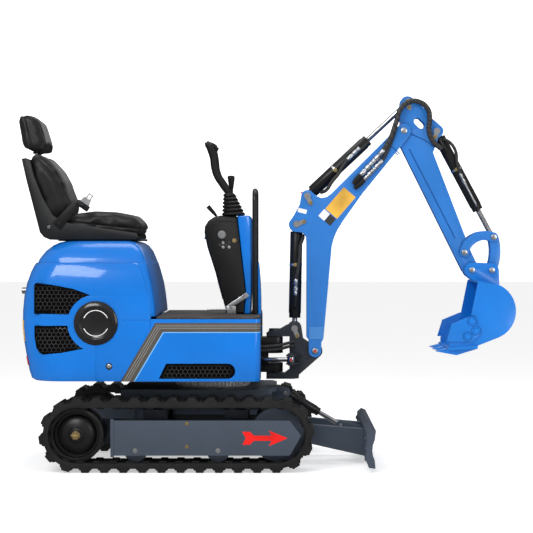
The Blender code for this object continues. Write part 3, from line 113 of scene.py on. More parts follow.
class Finish:
    def __init__(self, name, colour, roughness=0.5, metallic=0.0, **constants):
        self.material = bpy.data.materials.new(name)
        self.material.use_nodes = True
        self.tree = self.material.node_tree
        self.shader = self.tree.nodes["Principled BSDF"]
        self.shader.inputs["Base Color"].default_value = (*colour, 1)
        self.shader.inputs["Roughness"].default_value = roughness
        self.shader.inputs["Metallic"].default_value = metallic
        for key, value in constants.items():
            self.shader.inputs[key.replace("_", " ")].default_value = value

    def node(self, kind, settings=None, out=0, **values):
        made = self.tree.nodes.new(kind)
        for key, value in (settings or {}).items():
            setattr(made, key, value)
        for key, value in values.items():
            self.feed(made.inputs[key.replace("_", " ")], value)
        return Link(self.tree, made.outputs[out])

    def feed(self, place, value):
        if isinstance(value, Link):
            self.tree.links.new(value.socket, place)
        else:
            place.default_value = value

    def place(self, scale=1.0, shift=(0, 0, 0), uv=False):
        source = self.node("ShaderNodeTexCoord", out="UV" if uv else "Object")
        scale = scale if isinstance(scale, tuple) else (scale, scale, scale)
        return self.node("ShaderNodeMapping", Vector=source, Scale=scale, Location=shift)

    def axes(self):
        # x, y and z in metres from the slew axis
        moved = self.place(shift=(-slewX, 0, 0))
        split = self.tree.nodes.new("ShaderNodeSeparateXYZ")
        self.feed(split.inputs[0], moved)
        return [Link(self.tree, out) for out in split.outputs]

    def noise(self, scale, detail=3.0, roughness=0.5, where=None):
        return self.node("ShaderNodeTexNoise", Vector=where or self.place(), Scale=scale, Detail=detail,
                         Roughness=roughness, out="Fac")

    def cells(self, scale, feature="F1", where=None):
        return self.node("ShaderNodeTexVoronoi", {"feature": feature}, Vector=where or self.place(),
                         Scale=scale,
                         out="Distance")

    def ramp(self, value, low, high):
        return self.node("ShaderNodeMapRange", Value=value, From_Min=low, From_Max=high)

    def blendColour(self, amount, first, second):
        made = self.tree.nodes.new("ShaderNodeMix")
        made.data_type = "RGBA"
        self.feed(made.inputs[0], amount)
        for place, value in ((made.inputs[6], first), (made.inputs[7], second)):
            self.feed(place, value if isinstance(value, Link) else tuple(value)[:3] + (1,))
        return Link(self.tree, made.outputs[2])

    def bump(self, height, strength=0.3, depth=0.001):
        result = self.node("ShaderNodeBump", Height=height, Strength=strength, Distance=depth)
        self.feed(self.shader.inputs["Normal"], result)

    def paint(self, colour=None, roughness=None, metallic=None, coat=None):
        for key, value in (("Base Color", colour), ("Roughness", roughness), ("Metallic", metallic),
                           ("Coat Weight", coat)):
            if value is not None:
                self.feed(self.shader.inputs[key], value)


def tint(colour, factor):
    return tuple(min(1.0, c * factor) for c in colour[:3])


# ---- finishes
paintLook = {
    "body": (0.0, 0.170, 0.64), "linkage": (0.018, 0.175, 0.56), "slate": (0.052, 0.068, 0.095),
    "stripe": (0.085, 0.078, 0.070), "pinstripe": (0.42, 0.40, 0.37), "edgeLine": (0.20, 0.52, 0.90),
}


def makeGloss(name, colour, striped=False):
    f = Finish(name, colour, 0.30, Coat_Roughness=0.07, Coat_IOR=1.5, Coat_Weight=0.6, Specular_IOR_Level=0.2)
    cloud = f.noise(3.5, 2.0)
    base = f.blendColour(f.ramp(cloud, 0.35, 0.65), tint(colour, 0.93), tint(colour, 1.06))
    fine = f.noise(420, 2.0)
    rough = 0.26 + f.noise(38, 4.0) * 0.10
    if striped:
        x, y, z = f.axes()
        level = 0.6625 - z
        slope = ((x + 0.3925) * 0.860 - (z - 0.410) * 0.510) * 0.80
        depth = level.lowest(slope)
        band = depth.between(0.0005, 0.0415)
        lines = ((depth - 0.010) * 133.3).rest()
        thin = (lines < 0.16) * depth.between(0.0100, 0.0325)
        grain = f.ramp(f.noise(650, 2.0), 0.3, 0.7)
        dark = f.blendColour(grain, tint(paintLook["stripe"], 0.8), tint(paintLook["stripe"], 1.25))
        edge = depth.between(0.0415, 0.0450)
        base = f.blendColour(band, base, dark)
        base = f.blendColour(thin, base, paintLook["pinstripe"])
        base = f.blendColour(edge, base, paintLook["edgeLine"])
        rough = rough + band * 0.22
        f.paint(coat=0.6 - band * 0.5)
    f.paint(base, rough)
    f.bump(fine, 0.05, 0.0003)
    return f


def makeSatin(name, colour, coat=0.35):
    f = Finish(name, colour, 0.42, Coat_Roughness=0.15, Coat_Weight=coat, Specular_IOR_Level=0.3)
    cloud = f.ramp(f.noise(5.0, 4.0), 0.3, 0.7)
    f.paint(f.blendColour(cloud, tint(colour, 0.90), tint(colour, 1.08)), 0.36 + f.noise(60, 4.0) * 0.14)
    f.bump(f.noise(320, 3.0), 0.16, 0.0005)
    return f


def makeTextured(name, colour, grain=700, strength=0.35, roughness=0.5, gloss=0.5):
    # moulded plastic or powder coat
    f = Finish(name, colour, roughness, Specular_IOR_Level=gloss)
    f.paint(f.blendColour(f.ramp(f.noise(9, 4.0), 0.3, 0.7), tint(colour, 0.8), tint(colour, 1.35)),
            roughness - 0.06 + f.noise(80, 3.0) * 0.12)
    f.bump(f.noise(grain, 2.0), strength, 0.0006)
    return f


def makeRubber(name, colour):
    f = Finish(name, colour, 0.72, Specular_IOR_Level=0.3)
    dust = f.ramp(f.noise(14, 6.0, 0.65), 0.45, 0.75)
    f.paint(f.blendColour(dust, colour, tint(colour, 1.8)), 0.62 + f.noise(55, 4.0) * 0.22)
    f.bump(f.noise(260, 4.0) + f.noise(40, 2.0), 0.4, 0.0012)
    return f


def makeVinyl(name, colour):
    f = Finish(name, colour, 0.36, Specular_IOR_Level=0.22)
    grain = f.cells(420, "DISTANCE_TO_EDGE")
    f.paint(f.blendColour(f.ramp(f.noise(6, 3.0), 0.3, 0.7), tint(colour, 0.8), tint(colour, 1.5)),
            0.30 + f.noise(24, 4.0) * 0.16)
    f.bump(f.ramp(grain, 0.0, 0.25) * 0.6 + f.noise(30, 3.0), 0.20, 0.0009)
    return f


def makeMetal(name, colour, roughness, brushed=False, metallic=1.0):
    f = Finish(name, colour, roughness, metallic)
    mark = f.noise(30, 5.0, 0.6)
    f.paint(f.blendColour(f.ramp(mark, 0.3, 0.7), tint(colour, 0.82), tint(colour, 1.1)),
            roughness + mark * 0.12)
    if brushed:
        f.bump(f.noise(1, 3.0, 0.5, f.place((1500, 1500, 60))), 0.12, 0.0003)
    return f


def makeTread(name, colour):
    # ribbed rubber mat with low bars across it
    f = Finish(name, colour, 0.75)
    bars = ((f.axes()[0] * 52.0).rest() - 0.5).size()
    dots = f.cells(160)
    f.paint(f.blendColour(f.ramp(f.noise(12, 5.0), 0.4, 0.7), colour, tint(colour, 1.7)),
            0.66 + f.noise(60, 3.0) * 0.2)
    f.bump(f.ramp(bars, 0.10, 0.22) * 0.8 + dots * 0.5, 0.6, 0.0025)
    return f


def makeSleeve(name, colour, turns):
    # hose wrap: a pattern along the tube's own length, with painted highlight on its ridges and painted shade
    # in its grooves
    f = Finish(name, colour, 0.5)
    split = f.tree.nodes.new("ShaderNodeSeparateXYZ")
    f.feed(split.inputs[0], f.place(uv=True))
    along, round_ = Link(f.tree, split.outputs[0]), Link(f.tree, split.outputs[1])
    coil = (((along * turns) + round_).rest() - 0.5).size()
    # ridges painted lighter as painted highlight, grooves painted darker as painted shade
    f.paint(f.blendColour(f.ramp(coil, 0.3, 0.5), tint(colour, 1.9), tint(colour, 0.5)), 0.42 + coil * 0.4)
    f.bump(f.ramp(coil, 0.5, 0.25), 0.7, 0.002)
    return f


finishes = {
    "body": makeGloss("bodyPaint", paintLook["body"]),
    "striped": makeGloss("stripedPaint", paintLook["body"], True),
    "linkage": makeSatin("linkagePaint", paintLook["linkage"]),
    # the boom's blue made lighter for the foot plate: a painted highlight
    "sleevePlate": makeSatin("sleevePlatePaint", (0.055, 0.235, 0.60)),
    "bucket": makeSatin("bucketPaint", (0.0, 0.185, 0.66), 0.5),
    # dark bucket blue used as painted shade: rings round the cutter bolts and dark lines along the weld beads
    "bucketPaintedShade": makeSatin("bucketShadePaint", (0.0, 0.075, 0.30), 0.3),
    "slate": makeSatin("slatePaint", paintLook["slate"], 0.1),
    "darkSlate": makeSatin("darkSlatePaint", (0.022, 0.027, 0.036), 0.2),
    "black": makeTextured("blackPaint", (0.007, 0.007, 0.008), 500, 0.12, 0.34, 0.35),
    "plastic": makeTextured("mouldedPlastic", (0.006, 0.006, 0.0065), 900, 0.4, 0.48, 0.30),
    "shell": makeTextured("seatShellPlastic", (0.010, 0.0105, 0.011), 800, 0.5, 0.48, 0.32),
    "rubber": makeRubber("trackRubber", (0.0095, 0.0095, 0.0095)),
    "vinyl": makeVinyl("seatVinyl", (0.009, 0.009, 0.0095)),
    "chrome": makeMetal("hardChrome", (0.46, 0.47, 0.49), 0.14),
    "silver": makeMetal("zincSilver", (0.62, 0.63, 0.65), 0.28),
    "gold": makeMetal("zincGold", (0.62, 0.47, 0.22), 0.30),
    "steel": makeMetal("turnedSteel", (0.60, 0.60, 0.61), 0.30, True),
    "machined": makeMetal("machinedRing", (0.72, 0.72, 0.73), 0.34, True, 0.35),
    "mat": makeTread("floorRubber", (0.042, 0.037, 0.033)),
    # near-black matte sheet on the grilles and vents: painted shade standing for the dark space seen through
    # the holes
    "holeShade": makeTextured("grilleHoleShade", (0.0015, 0.0015, 0.0016), 700, 0.2, 0.8, 0.08),
    "bars": makeTextured("grilleBars", (0.030, 0.030, 0.032), 900, 0.2, 0.26),
    "glossBlack": makeTextured("glossyPlastic", (0.010, 0.010, 0.011), 1200, 0.05, 0.16),
    "sleeve": makeSleeve("hoseWrap", (0.014, 0.014, 0.015), 26.0),
    "red": makeTextured("redPaint", (0.74, 0.010, 0.008), 600, 0.06, 0.45, 0.2),
    "redLens": makeTextured("redLens", (0.55, 0.02, 0.015), 1400, 0.5, 0.2),
    "amber": makeTextured("amberLabel", (0.72, 0.40, 0.05), 900, 0.05, 0.40),
    "white": makeTextured("whiteLabel", (0.80, 0.80, 0.79), 900, 0.05, 0.42),
    "dark": makeTextured("darkLabel", (0.03, 0.03, 0.03), 900, 0.05, 0.42),
}
print("stage: finishes made,", len(finishes))


# ---- helpers that make, place and hand over pieces
def fromBmesh(name, bm, smooth=True):
    mesh = bpy.data.meshes.new(name)
    bm.to_mesh(mesh)
    bm.free()
    piece = bpy.data.objects.new(name, mesh)
    bpy.context.scene.collection.objects.link(piece)
    if smooth:
        mesh.shade_smooth()
        mesh.set_sharp_from_angle(angle=math.radians(38))
    return piece


def handOver(piece, body, finish, replaced=()):
    piece.data.materials.clear()
    piece.data.materials.append(finishes[finish].material)
    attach(piece, body)
    if replaced:
        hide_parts(*replaced)
    return piece


def turnTo(direction):
    return Vector(direction).to_track_quat("Z", "Y").to_matrix().to_4x4()


def addCone(bm, start, end, r0, r1, segments=20):
    start, end = Vector(start), Vector(end)
    place = Matrix.Translation((start + end) / 2) @ turnTo(end - start)
    return bmesh.ops.create_cone(bm, cap_ends=True, segments=segments, radius1=r0, radius2=r1,
                                 depth=(end - start).length, matrix=place)["verts"]


def addBlock(bm, low, high):
    low, high = Vector(low), Vector(high)
    size = high - low
    place = Matrix.Translation((low + high) / 2) @ Matrix.Diagonal((size.x, size.y, size.z, 1))
    return bmesh.ops.create_cube(bm, size=1, matrix=place)["verts"]


def edgesOf(verts):
    chosen = set(verts)
    return [e for e in {e for v in verts for e in v.link_edges} if all(v in chosen for v in e.verts)]


def roundOff(bm, verts, width, segments=2, sharpest=0.5):
    edges = [e for e in edgesOf(verts) if len(e.link_faces) == 2 and e.calc_face_angle(0) > sharpest]
    bmesh.ops.bevel(bm, geom=edges, offset=width, affect="EDGES", segments=segments, profile=0.5,
                    material=-1, clamp_overlap=True)


def spun(name, profile, centre, axis, segments=40):
    # profile holds (radius, distance along the axis); ends at radius 0 are closed
    bm = bmesh.new()
    last = None
    chain = []
    for radius, along in profile:
        corner = bm.verts.new((radius, 0, along))
        if last:
            chain.append(bm.edges.new((last, corner)))
        last = corner
    bmesh.ops.spin(bm, geom=bm.verts[:] + bm.edges[:], axis=(0, 0, 1), cent=(0, 0, 0), steps=segments,
                   angle=math.tau, use_merge=True)
    bmesh.ops.remove_doubles(bm, verts=bm.verts, dist=1e-6)
    bmesh.ops.recalc_face_normals(bm, faces=bm.faces)
    bmesh.ops.transform(bm, matrix=Matrix.Translation(centre) @ turnTo(axis), verts=bm.verts)
    return fromBmesh(name, bm)


def tube(name, points, radius, handles="AUTO", taper=None, sides=4):
    curve = bpy.data.curves.new(name, "CURVE")
    curve.dimensions = "3D"
    curve.bevel_depth = radius
    curve.bevel_resolution = sides
    curve.resolution_u = 10
    curve.use_fill_caps = True
    if handles == "AUTO":
        spline = curve.splines.new("BEZIER")
        spline.bezier_points.add(len(points) - 1)
        for knot, point in zip(spline.bezier_points, points):
            knot.co = point
            knot.handle_left_type = knot.handle_right_type = "AUTO"
        knots = spline.bezier_points
    else:
        spline = curve.splines.new("POLY")
        spline.points.add(len(points) - 1)
        for knot, point in zip(spline.points, points):
            knot.co = (*point, 1)
        knots = spline.points
    for knot, size in zip(knots, taper or []):
        knot.radius = size
    holder = bpy.data.objects.new(name + "Curve", curve)
    bpy.context.scene.collection.objects.link(holder)
    bpy.context.view_layer.update()
    mesh = bpy.data.meshes.new_from_object(holder.evaluated_get(bpy.context.evaluated_depsgraph_get()))
    bpy.data.objects.remove(holder, do_unlink=True)
    mesh.name = name
    piece = bpy.data.objects.new(name, mesh)
    bpy.context.scene.collection.objects.link(piece)
    mesh.shade_smooth()
    mesh.set_sharp_from_angle(angle=math.radians(50))
    return piece


cleanLook = {"merge": 2e-5, "flat": 0.6}  # metres, degrees


def cleaned(node):
    bm = bmesh.new()
    bm.from_mesh(nodes[node].data)
    bmesh.ops.remove_doubles(bm, verts=bm.verts, dist=cleanLook["merge"])
    bmesh.ops.dissolve_limit(bm, angle_limit=math.radians(cleanLook["flat"]), verts=bm.verts, edges=bm.edges)
    return bm


def addBevel(piece, width, segments, angle):
    bevel = piece.modifiers.new("edges", "BEVEL")
    bevel.width = width
    bevel.segments = segments
    bevel.limit_method = "ANGLE"
    bevel.angle_limit = math.radians(angle)
    return bevel


def softened(node, finish, width):
    # the CAD node again with rounded edges, standing in for it
    piece = fromBmesh(node + "Body", cleaned(node), smooth=False)
    piece.data.shade_smooth()
    addBevel(piece, width, 2, 28).harden_normals = True
    return handOver(piece, bodyOf[node], finish, (node,))


bevels = {
    "centre_frame": ("slate", 0.0020), "track_frame_left": ("slate", 0.0016),
          "track_frame_right": ("slate", 0.0016),
    "rubber_track_left": ("rubber", 0.0045), "rubber_track_right": ("rubber", 0.0045),
    "drive_wheel_left": ("black", 0.0015), "drive_wheel_right": ("black", 0.0015),
    "slew_ring": ("machined", 0.0015), "dozer_blade": ("slate", 0.0018),
    "platform": ("black", 0.0015), "engine_block": ("steel", 0.0040), "floor_mat": ("mat", 0.0030),
    "engine_hood": ("body", 0.0012), "seat_plinth": ("body", 0.0012), "rear_door": ("body", 0.0012),
    "side_cover_left": ("body", 0.0012), "side_cover_right": ("body", 0.0012),
    "deck_skirt_left": ("striped", 0.0014), "deck_skirt_right": ("striped", 0.0014),
    # grilles and vents carry the near-black painted shade behind their honeycomb
    "skirt_vent_left": ("holeShade", 0.0010), "skirt_vent_right": ("holeShade", 0.0010),
    "side_grille_left": ("holeShade", 0.0012), "side_grille_right": ("holeShade", 0.0012),
    "seat_rails": ("black", 0.0010), "seat_shell": ("shell", 0.0060), "console_body": ("plastic", 0.0120),
    "console_cover": ("body", 0.0080), "front_panel": ("body", 0.0020), "guard_hoop": ("black", 0.0010),
    "swing_bracket": ("darkSlate", 0.0018), "boom": ("linkage", 0.0022), "arm": ("linkage", 0.0020),
    "bucket_rocker": ("linkage", 0.0016), "bucket_link": ("linkage", 0.0016), "bucket": ("bucket", 0.0016),
    "blade_cylinder_barrel": ("black", 0.0010), "swing_cylinder_barrel": ("black", 0.0010),
    "boom_cylinder_barrel": ("black", 0.0012), "arm_cylinder_barrel": ("black", 0.0012),
    "bucket_cylinder_barrel": ("black", 0.0012),
    "blade_cylinder_rod": ("chrome", 0.0008), "swing_cylinder_rod": ("chrome", 0.0008),
    "boom_cylinder_rod": ("chrome", 0.0008), "arm_cylinder_rod": ("chrome", 0.0008),
    "bucket_cylinder_rod": ("chrome", 0.0008),
}
for node, (finish, width) in bevels.items():
    softened(node, finish, width)
print("stage: structural pieces rounded,", len(bevels))

# ---- tracks: stepped blocks on the lugs outside the loop, guide horns inside it
trackLook = {
    "rear": -0.590, "front": 0.307, "axleZ": 0.165, "inner": 0.123, "horns": 37,
    "y": 0.375, "lugs": 32, "outer": 0.147, "blockOut": 0.068,
}


def loopPlace(distance, radius):
    # a point and its angle round the loop, from the bottom rear forward and up round the front
    look = trackLook
    straight, turn = look["front"] - look["rear"], math.pi * look["outer"]
    s = distance % (2 * (straight + turn))
    if s < straight:
        return look["rear"] + s, look["axleZ"] - radius, -math.pi / 2
    if s < straight + turn:
        a = -math.pi / 2 + (s - straight) / look["outer"]
        return look["front"] + radius * math.cos(a), look["axleZ"] + radius * math.sin(a), a
    if s < 2 * straight + turn:
        return look["front"] - (s - straight - turn), look["axleZ"] + radius, math.pi / 2
    a = math.pi / 2 + (s - 2 * straight - turn) / look["outer"]
    return look["rear"] + radius * math.cos(a), look["axleZ"] + radius * math.sin(a), a


def addOnLoop(bm, distance, radius, y, size, taper=0.7):
    x, z, a = loopPlace(distance, radius)
    place = (Matrix.Translation(at(x, y, z)) @ Matrix.Rotation(-a + math.pi / 2, 4, "Y")
             @ Matrix.Diagonal((size[0], size[1], size[2], 1)))
    verts = bmesh.ops.create_cube(bm, size=1, matrix=place)["verts"]
    outward = Vector((math.cos(a), 0, math.sin(a)))
    centre = at(x, y, z)
    for v in verts:
        rise = (v.co - centre).dot(outward)
        if rise > 0:
            v.co = centre + outward * rise + (v.co - centre - outward * rise) * taper
    return verts


def makeTreads(side, word):
    look = trackLook
    length = 2 * (look["front"] - look["rear"]) + math.tau * look["outer"]
    bm = bmesh.new()
    for i in range(look["lugs"]):  # a stepped block on each end of a lug
        s = (i + 0.5) * length / look["lugs"]
        for y in (look["y"] - look["blockOut"], look["y"] + look["blockOut"]):
            addOnLoop(bm, s, look["outer"] + 0.0035, y * side, (0.062, 0.040, 0.009), 0.82)
        addOnLoop(bm, s + length / look["lugs"] / 2, look["outer"] + 0.002, look["y"] * side,
                  (0.012, 0.120, 0.006), 0.7)
    roundOff(bm, bm.verts[:], 0.0016, 1)
    handOver(fromBmesh("treadBlocks" + word, bm), "undercarriage", "rubber")
    bm = bmesh.new()
    for i in range(look["horns"]):
        s = (i + 0.25) * length / look["horns"]
        for y in (look["y"] - 0.058, look["y"] + 0.0655):
            addOnLoop(bm, s, look["inner"] - 0.0035, y * side, (0.034, 0.012, 0.009), 1.0)
    roundOff(bm, bm.verts[:], 0.002, 1)
    handOver(fromBmesh("guideHorns" + word, bm), "undercarriage", "rubber")


for side, word in bothSides:
    makeTreads(side, word)

# ---- bolts
boltLook = {"washer": 1.5, "height": 0.55}


def addBolt(bm, centre, axis, radius):
    axis = Vector(axis).normalized()
    centre = Vector(centre)
    look = boltLook
    addCone(bm, centre, centre + axis * radius * 0.18, radius * look["washer"],
            radius * look["washer"] * 0.97, 20)
    head = addCone(bm, centre + axis * radius * 0.15, centre + axis * radius * (0.15 + look["height"]),
                   radius, radius * 0.96, 6)
    roundOff(bm, head, radius * 0.08, 1)


def sides(points, y):
    return [(at(x, -y, z), (0, -1, 0)) for x, z in points], [(at(x, y, z), (0, 1, 0)) for x, z in points]


def boltsBothSides(name, body, finish, points, y, radius):
    bm = bmesh.new()
    for group in sides(points, y):
        for centre, axis in group:
            addBolt(bm, centre, axis, radius)
    return handOver(fromBmesh(name, bm), body, finish)


coverFace = 0.452
boltsBothSides("rollerBolts", "undercarriage", "silver", [(-0.326, 0.097), (0.042, 0.097)], coverFace, 0.0078)
boltsBothSides("coverBolts", "undercarriage", "gold", [(-0.096, 0.217), (-0.096, 0.115)], coverFace, 0.0058)


def flatShape(name, points, y, thickness, body, finish):
    # a thin outline in x and z on the given side, proud of y
    bm = bmesh.new()
    corners = [bm.verts.new(at(x, y, z)) for x, z in points]
    face = bm.faces.new(corners)
    out = 1 if y > 0 else -1
    raised = bmesh.ops.extrude_face_region(bm, geom=[face])["geom"]
    bmesh.ops.translate(bm, verts=[v for v in raised if isinstance(v, bmesh.types.BMVert)],
                        vec=(0, out * thickness, 0))
    bmesh.ops.recalc_face_normals(bm, faces=bm.faces)
    return handOver(fromBmesh(name, bm, smooth=False), body, finish)


arrowLook = {"x0": 0.150, "x1": 0.352, "z": 0.1525, "shaft": 0.0115, "head": 0.035, "tail": 0.029}


def arrow():
    look = arrowLook
    x0, x1, z, shaft, tail = look["x0"], look["x1"], look["z"], look["shaft"], look["tail"]
    upper = [(x0, z + tail), (x0 + 0.034, z + tail), (x0 + 0.052, z + shaft), (x1 - 0.072, z + shaft),
             (x1 - 0.084, z + look["head"])]
    lower = [(x, 2 * z - y) for x, y in upper]
    return [(x0 + 0.016, z)] + upper + [(x1, z)] + lower[::-1]


for side, word in bothSides:
    flatShape("forwardArrow" + word, arrow(), side * coverFace, 0.0005, "undercarriage", "red")

# ---- drive wheel hub
hubLook = {"x": -0.590, "z": 0.165, "face": 0.451}
for side, word in bothSides:
    hub = spun("hubCap" + word, [(0, 0.0105), (0.010, 0.0105), (0.011, 0.009), (0.0175, 0.0085),
                                 (0.019, 0.007), (0.0195, -0.002),
                                 (0, -0.002)], at(hubLook["x"], side * hubLook["face"], hubLook["z"]),
               (0, side, 0), 32)
    handOver(hub, "undercarriage", "gold")
    bm = bmesh.new()
    for i in range(6):  # castle nut
        a = i * math.tau / 6
        verts = addBlock(bm, (-0.0035, -0.003, 0), (0.0035, 0.003, 0.008))
        spot = at(hubLook["x"] + 0.0135 * math.cos(a), side * (hubLook["face"] + 0.012),
                  hubLook["z"] + 0.0135 * math.sin(a))
        turn = Matrix.Translation(spot) @ turnTo((0, side, 0)) @ Matrix.Rotation(a, 4, "Z")
        bmesh.ops.transform(bm, matrix=turn, verts=verts)
    addCone(bm, at(hubLook["x"] - 0.020, side * (hubLook["face"] + 0.016), hubLook["z"] + 0.004),
            at(hubLook["x"] + 0.022, side * (hubLook["face"] + 0.016), hubLook["z"] - 0.003), 0.0016, 0.0016,
            8)
    handOver(fromBmesh("hubNut" + word, bm), "undercarriage", "gold")
print("stage: tracks and wheels detailed")

# ---- slew ring teeth
ringLook = {"teeth": 60, "radius": 0.170, "z0": 0.360, "z1": 0.384}
bm = bmesh.new()
for i in range(ringLook["teeth"]):
    a = i * math.tau / ringLook["teeth"]
    verts = addBlock(bm, (-0.004, -0.0048, ringLook["z0"]), (0.006, 0.0048, ringLook["z1"]))
    bmesh.ops.transform(bm, verts=verts, matrix=Matrix.Translation(at(0, 0, 0)) @ Matrix.Rotation(a, 4, "Z")
                        @ Matrix.Translation((ringLook["radius"], 0, 0)))
handOver(fromBmesh("slewTeeth", bm), "undercarriage", "machined")

# ---- honeycomb bars over the grilles and vents
badgeLook = {"x": -0.508, "z": 0.661, "face": 0.390, "bezel": 0.0987, "ring": 0.0575, "halfArc": 66}
screwLook = {"x": -0.449, "z": 0.467, "face": 0.3905}
combLook = {"cell": 0.0198, "bar": 0.0030, "proud": 0.0042}


def treeOf(node):
    bm = bmesh.new()
    bm.from_mesh(nodes[node].data)
    tree = BVHTree.FromBMesh(bm)
    bm.free()
    return tree


def honeycomb(name, node, side, finish):
    look = combLook
    tree = treeOf(node)
    low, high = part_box(node)
    front = high[1] if side > 0 else low[1]
    radius = look["cell"] / math.sqrt(3)

    def faceAt(x, z):
        spot = tree.ray_cast(Vector((x, front + side * 0.05, z)), Vector((0, -side, 0)))[0]
        return None if spot is None or abs(spot.y - front) > 0.05 else spot.y

    comb = bmesh.new()
    rows = int((high[2] - low[2]) / (radius * 1.5)) + 2
    columns = int((high[0] - low[0]) / look["cell"]) + 2
    for j in range(rows):
        for i in range(columns):
            x = low[0] + (i + 0.5 * (j % 2)) * look["cell"]
            z = low[2] + 0.004 + j * radius * 1.5
            corners = [(x + radius * math.cos(math.radians(30 + 60 * k)),
                        z + radius * math.sin(math.radians(30 + 60 * k)))
                       for k in range(6)]
            depths = [faceAt(*corner) for corner in corners]
            fromBadge = math.hypot(x - slewX - badgeLook["x"], z - badgeLook["z"])
            clear = fromBadge > badgeLook["bezel"] + radius
            if None not in depths and clear and max(depths) - min(depths) < 0.012:
                comb.faces.new([comb.verts.new((cx, y - side * 0.0010, cz)) for (cx, cz),
                                y in zip(corners, depths)])
    bmesh.ops.remove_doubles(comb, verts=comb.verts, dist=1e-4)
    holes = bmesh.ops.inset_individual(comb, faces=comb.faces[:], thickness=look["bar"] / 2, depth=0)["faces"]
    bars = set(holes)
    bmesh.ops.delete(comb, geom=[f for f in comb.faces if f not in bars], context="FACES")
    raised = bmesh.ops.extrude_face_region(comb, geom=comb.faces[:])["geom"]
    bmesh.ops.translate(comb, verts=[v for v in raised if isinstance(v, bmesh.types.BMVert)],
                        vec=(0, side * look["proud"], 0))
    bmesh.ops.recalc_face_normals(comb, faces=comb.faces)
    handOver(fromBmesh(name, comb), bodyOf[node], finish)


for side, word in ((1, "left"), (-1, "right")):
    honeycomb("grilleBars" + word.title(), "side_grille_" + word, side, "bars")
    honeycomb("ventBars" + word.title(), "skirt_vent_" + word, side, "bars")

# ---- hood trim


def brokenRing(name, centre, side):
    # two thin arcs with gaps at the front and back of the disc
    look = badgeLook
    bm = bmesh.new()
    for middle in (90, 270):
        rows = []
        for i in range(33):
            a = math.radians(middle + (i / 16 - 1) * look["halfArc"])
            rows.append([bm.verts.new(centre + Vector((r * math.cos(a), side * h, r * math.sin(a))))
                         for r, h in ((look["ring"] - 0.0017, 0.0068), (look["ring"] - 0.0017, 0.0076),
                                      (look["ring"] + 0.0017, 0.0076), (look["ring"] + 0.0017, 0.0068))])
        for first, second in zip(rows, rows[1:]):
            for k in range(4):
                bm.faces.new((first[k], first[(k + 1) % 4], second[(k + 1) % 4], second[k]))
        bm.faces.new(rows[0])
        bm.faces.new(rows[-1])
    bmesh.ops.recalc_face_normals(bm, faces=bm.faces)
    return fromBmesh(name, bm)


for side, word in bothSides:
    centre = at(badgeLook["x"], side * badgeLook["face"], badgeLook["z"])
    bezel = spun("badgeBezel" + word,
                 [(0.0, 0.0070), (0.0660, 0.0070), (0.0680, 0.0085), (0.0700, 0.0125), (0.0730, 0.0140),
                  (0.0770, 0.0138),
                  (0.0960, 0.0060), (0.0987, 0.0035), (0.0987, 0.0008), (0.0, 0.0008)], centre, (0, side, 0),
                 64)
    handOver(bezel, "upper", "glossBlack")
    handOver(brokenRing("badgeRing" + word, centre, side), "upper", "white")
    screwPlace = at(screwLook["x"], side * screwLook["face"], screwLook["z"])
    screw = spun("coverScrew" + word, [(0, 0.0022), (0.0045, 0.0022), (0.0052, 0.0036), (0.0090, 0.0030),
                                       (0.0112, 0.0008),
                                       (0.0112, -0.002), (0, -0.002)], screwPlace, (0, side, 0), 28)
    handOver(screw, "upper", "silver")
    washer = spun("coverWasher" + word, [(0.0, 0.0004), (0.0150, 0.0004), (0.0155, -0.002), (0, -0.002)],
                  screwPlace, (0, side, 0), 28)
    handOver(washer, "upper", "black")
lock = spun("rearLock", [(0, 0.0060), (0.0085, 0.0060), (0.0095, 0.0050), (0.0120, 0.0045), (0.0145, 0.0030),
                         (0.0150, -0.020), (0, -0.020)],
            at(-0.866, -0.195, 0.802), (-1, 0, 0), 32)
handOver(lock, "rear_door", "chrome")


def stripOnRear(name, y0, y1, z0, z1, finish, proud=0.0012):
    # a thin patch that follows the curved back of the hood
    bm = bmesh.new()
    bmesh.ops.create_grid(bm, x_segments=6, y_segments=6, size=0.5)
    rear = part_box("engine_hood")[0][0]
    for v in bm.verts:
        y = y0 + (v.co.x + 0.5) * (y1 - y0)
        z = z0 + (v.co.y + 0.5) * (z1 - z0)
        v.co = (0, y, z)
    tree = treeOf("engine_hood")
    for v in bm.verts:
        hit = tree.ray_cast(Vector((rear - 0.2, v.co.y, v.co.z)), Vector((1, 0, 0)))[0]
        v.co.x = (hit.x if hit else rear) - proud
    bmesh.ops.recalc_face_normals(bm, faces=bm.faces)
    if bm.faces[:][0].normal.x > 0:
        bmesh.ops.reverse_faces(bm, faces=bm.faces)
    piece = fromBmesh(name, bm)
    wall = piece.modifiers.new("wall", "SOLIDIFY")
    wall.thickness = proud * 0.8
    wall.offset = -1
    return handOver(piece, "upper", finish)


for side, word in bothSides:
    y0, y1 = sorted((side * 0.262, side * 0.305))
    stripOnRear("amberStrip" + word, y0, y1, 0.575, 0.672, "amber")
    stripOnRear("redReflector" + word, y0, y1, 0.466, 0.504, "redLens", 0.003)
print("stage: hood trim made")

# ---- seat pads, blown up a little as stuffed vinyl
stuffingLook = {"corner": 0.016, "segments": 4, "angle": 40, "quality": 4, "steps": 20, "smoothing": 8}
padLook = {
    "seat_cushion": {"voxel": 0.006, "pressure": 4.0, "cap": 0.010, "shrink": (0.965, 0.965, 0.93),
                     "fill": 0.8},
    "seat_backrest": {"voxel": 0.006, "pressure": 4.0, "cap": 0.008, "shrink": (0.975, 0.965, 0.985),
                      "fill": 0.8},
    "headrest": {"voxel": 0.005, "pressure": 4.0, "cap": 0.005, "shrink": (0.95, 0.96, 0.97), "fill": 0.9},
}


def meshOf(piece):
    bpy.context.view_layer.update()
    return bpy.data.meshes.new_from_object(piece.evaluated_get(bpy.context.evaluated_depsgraph_get()))


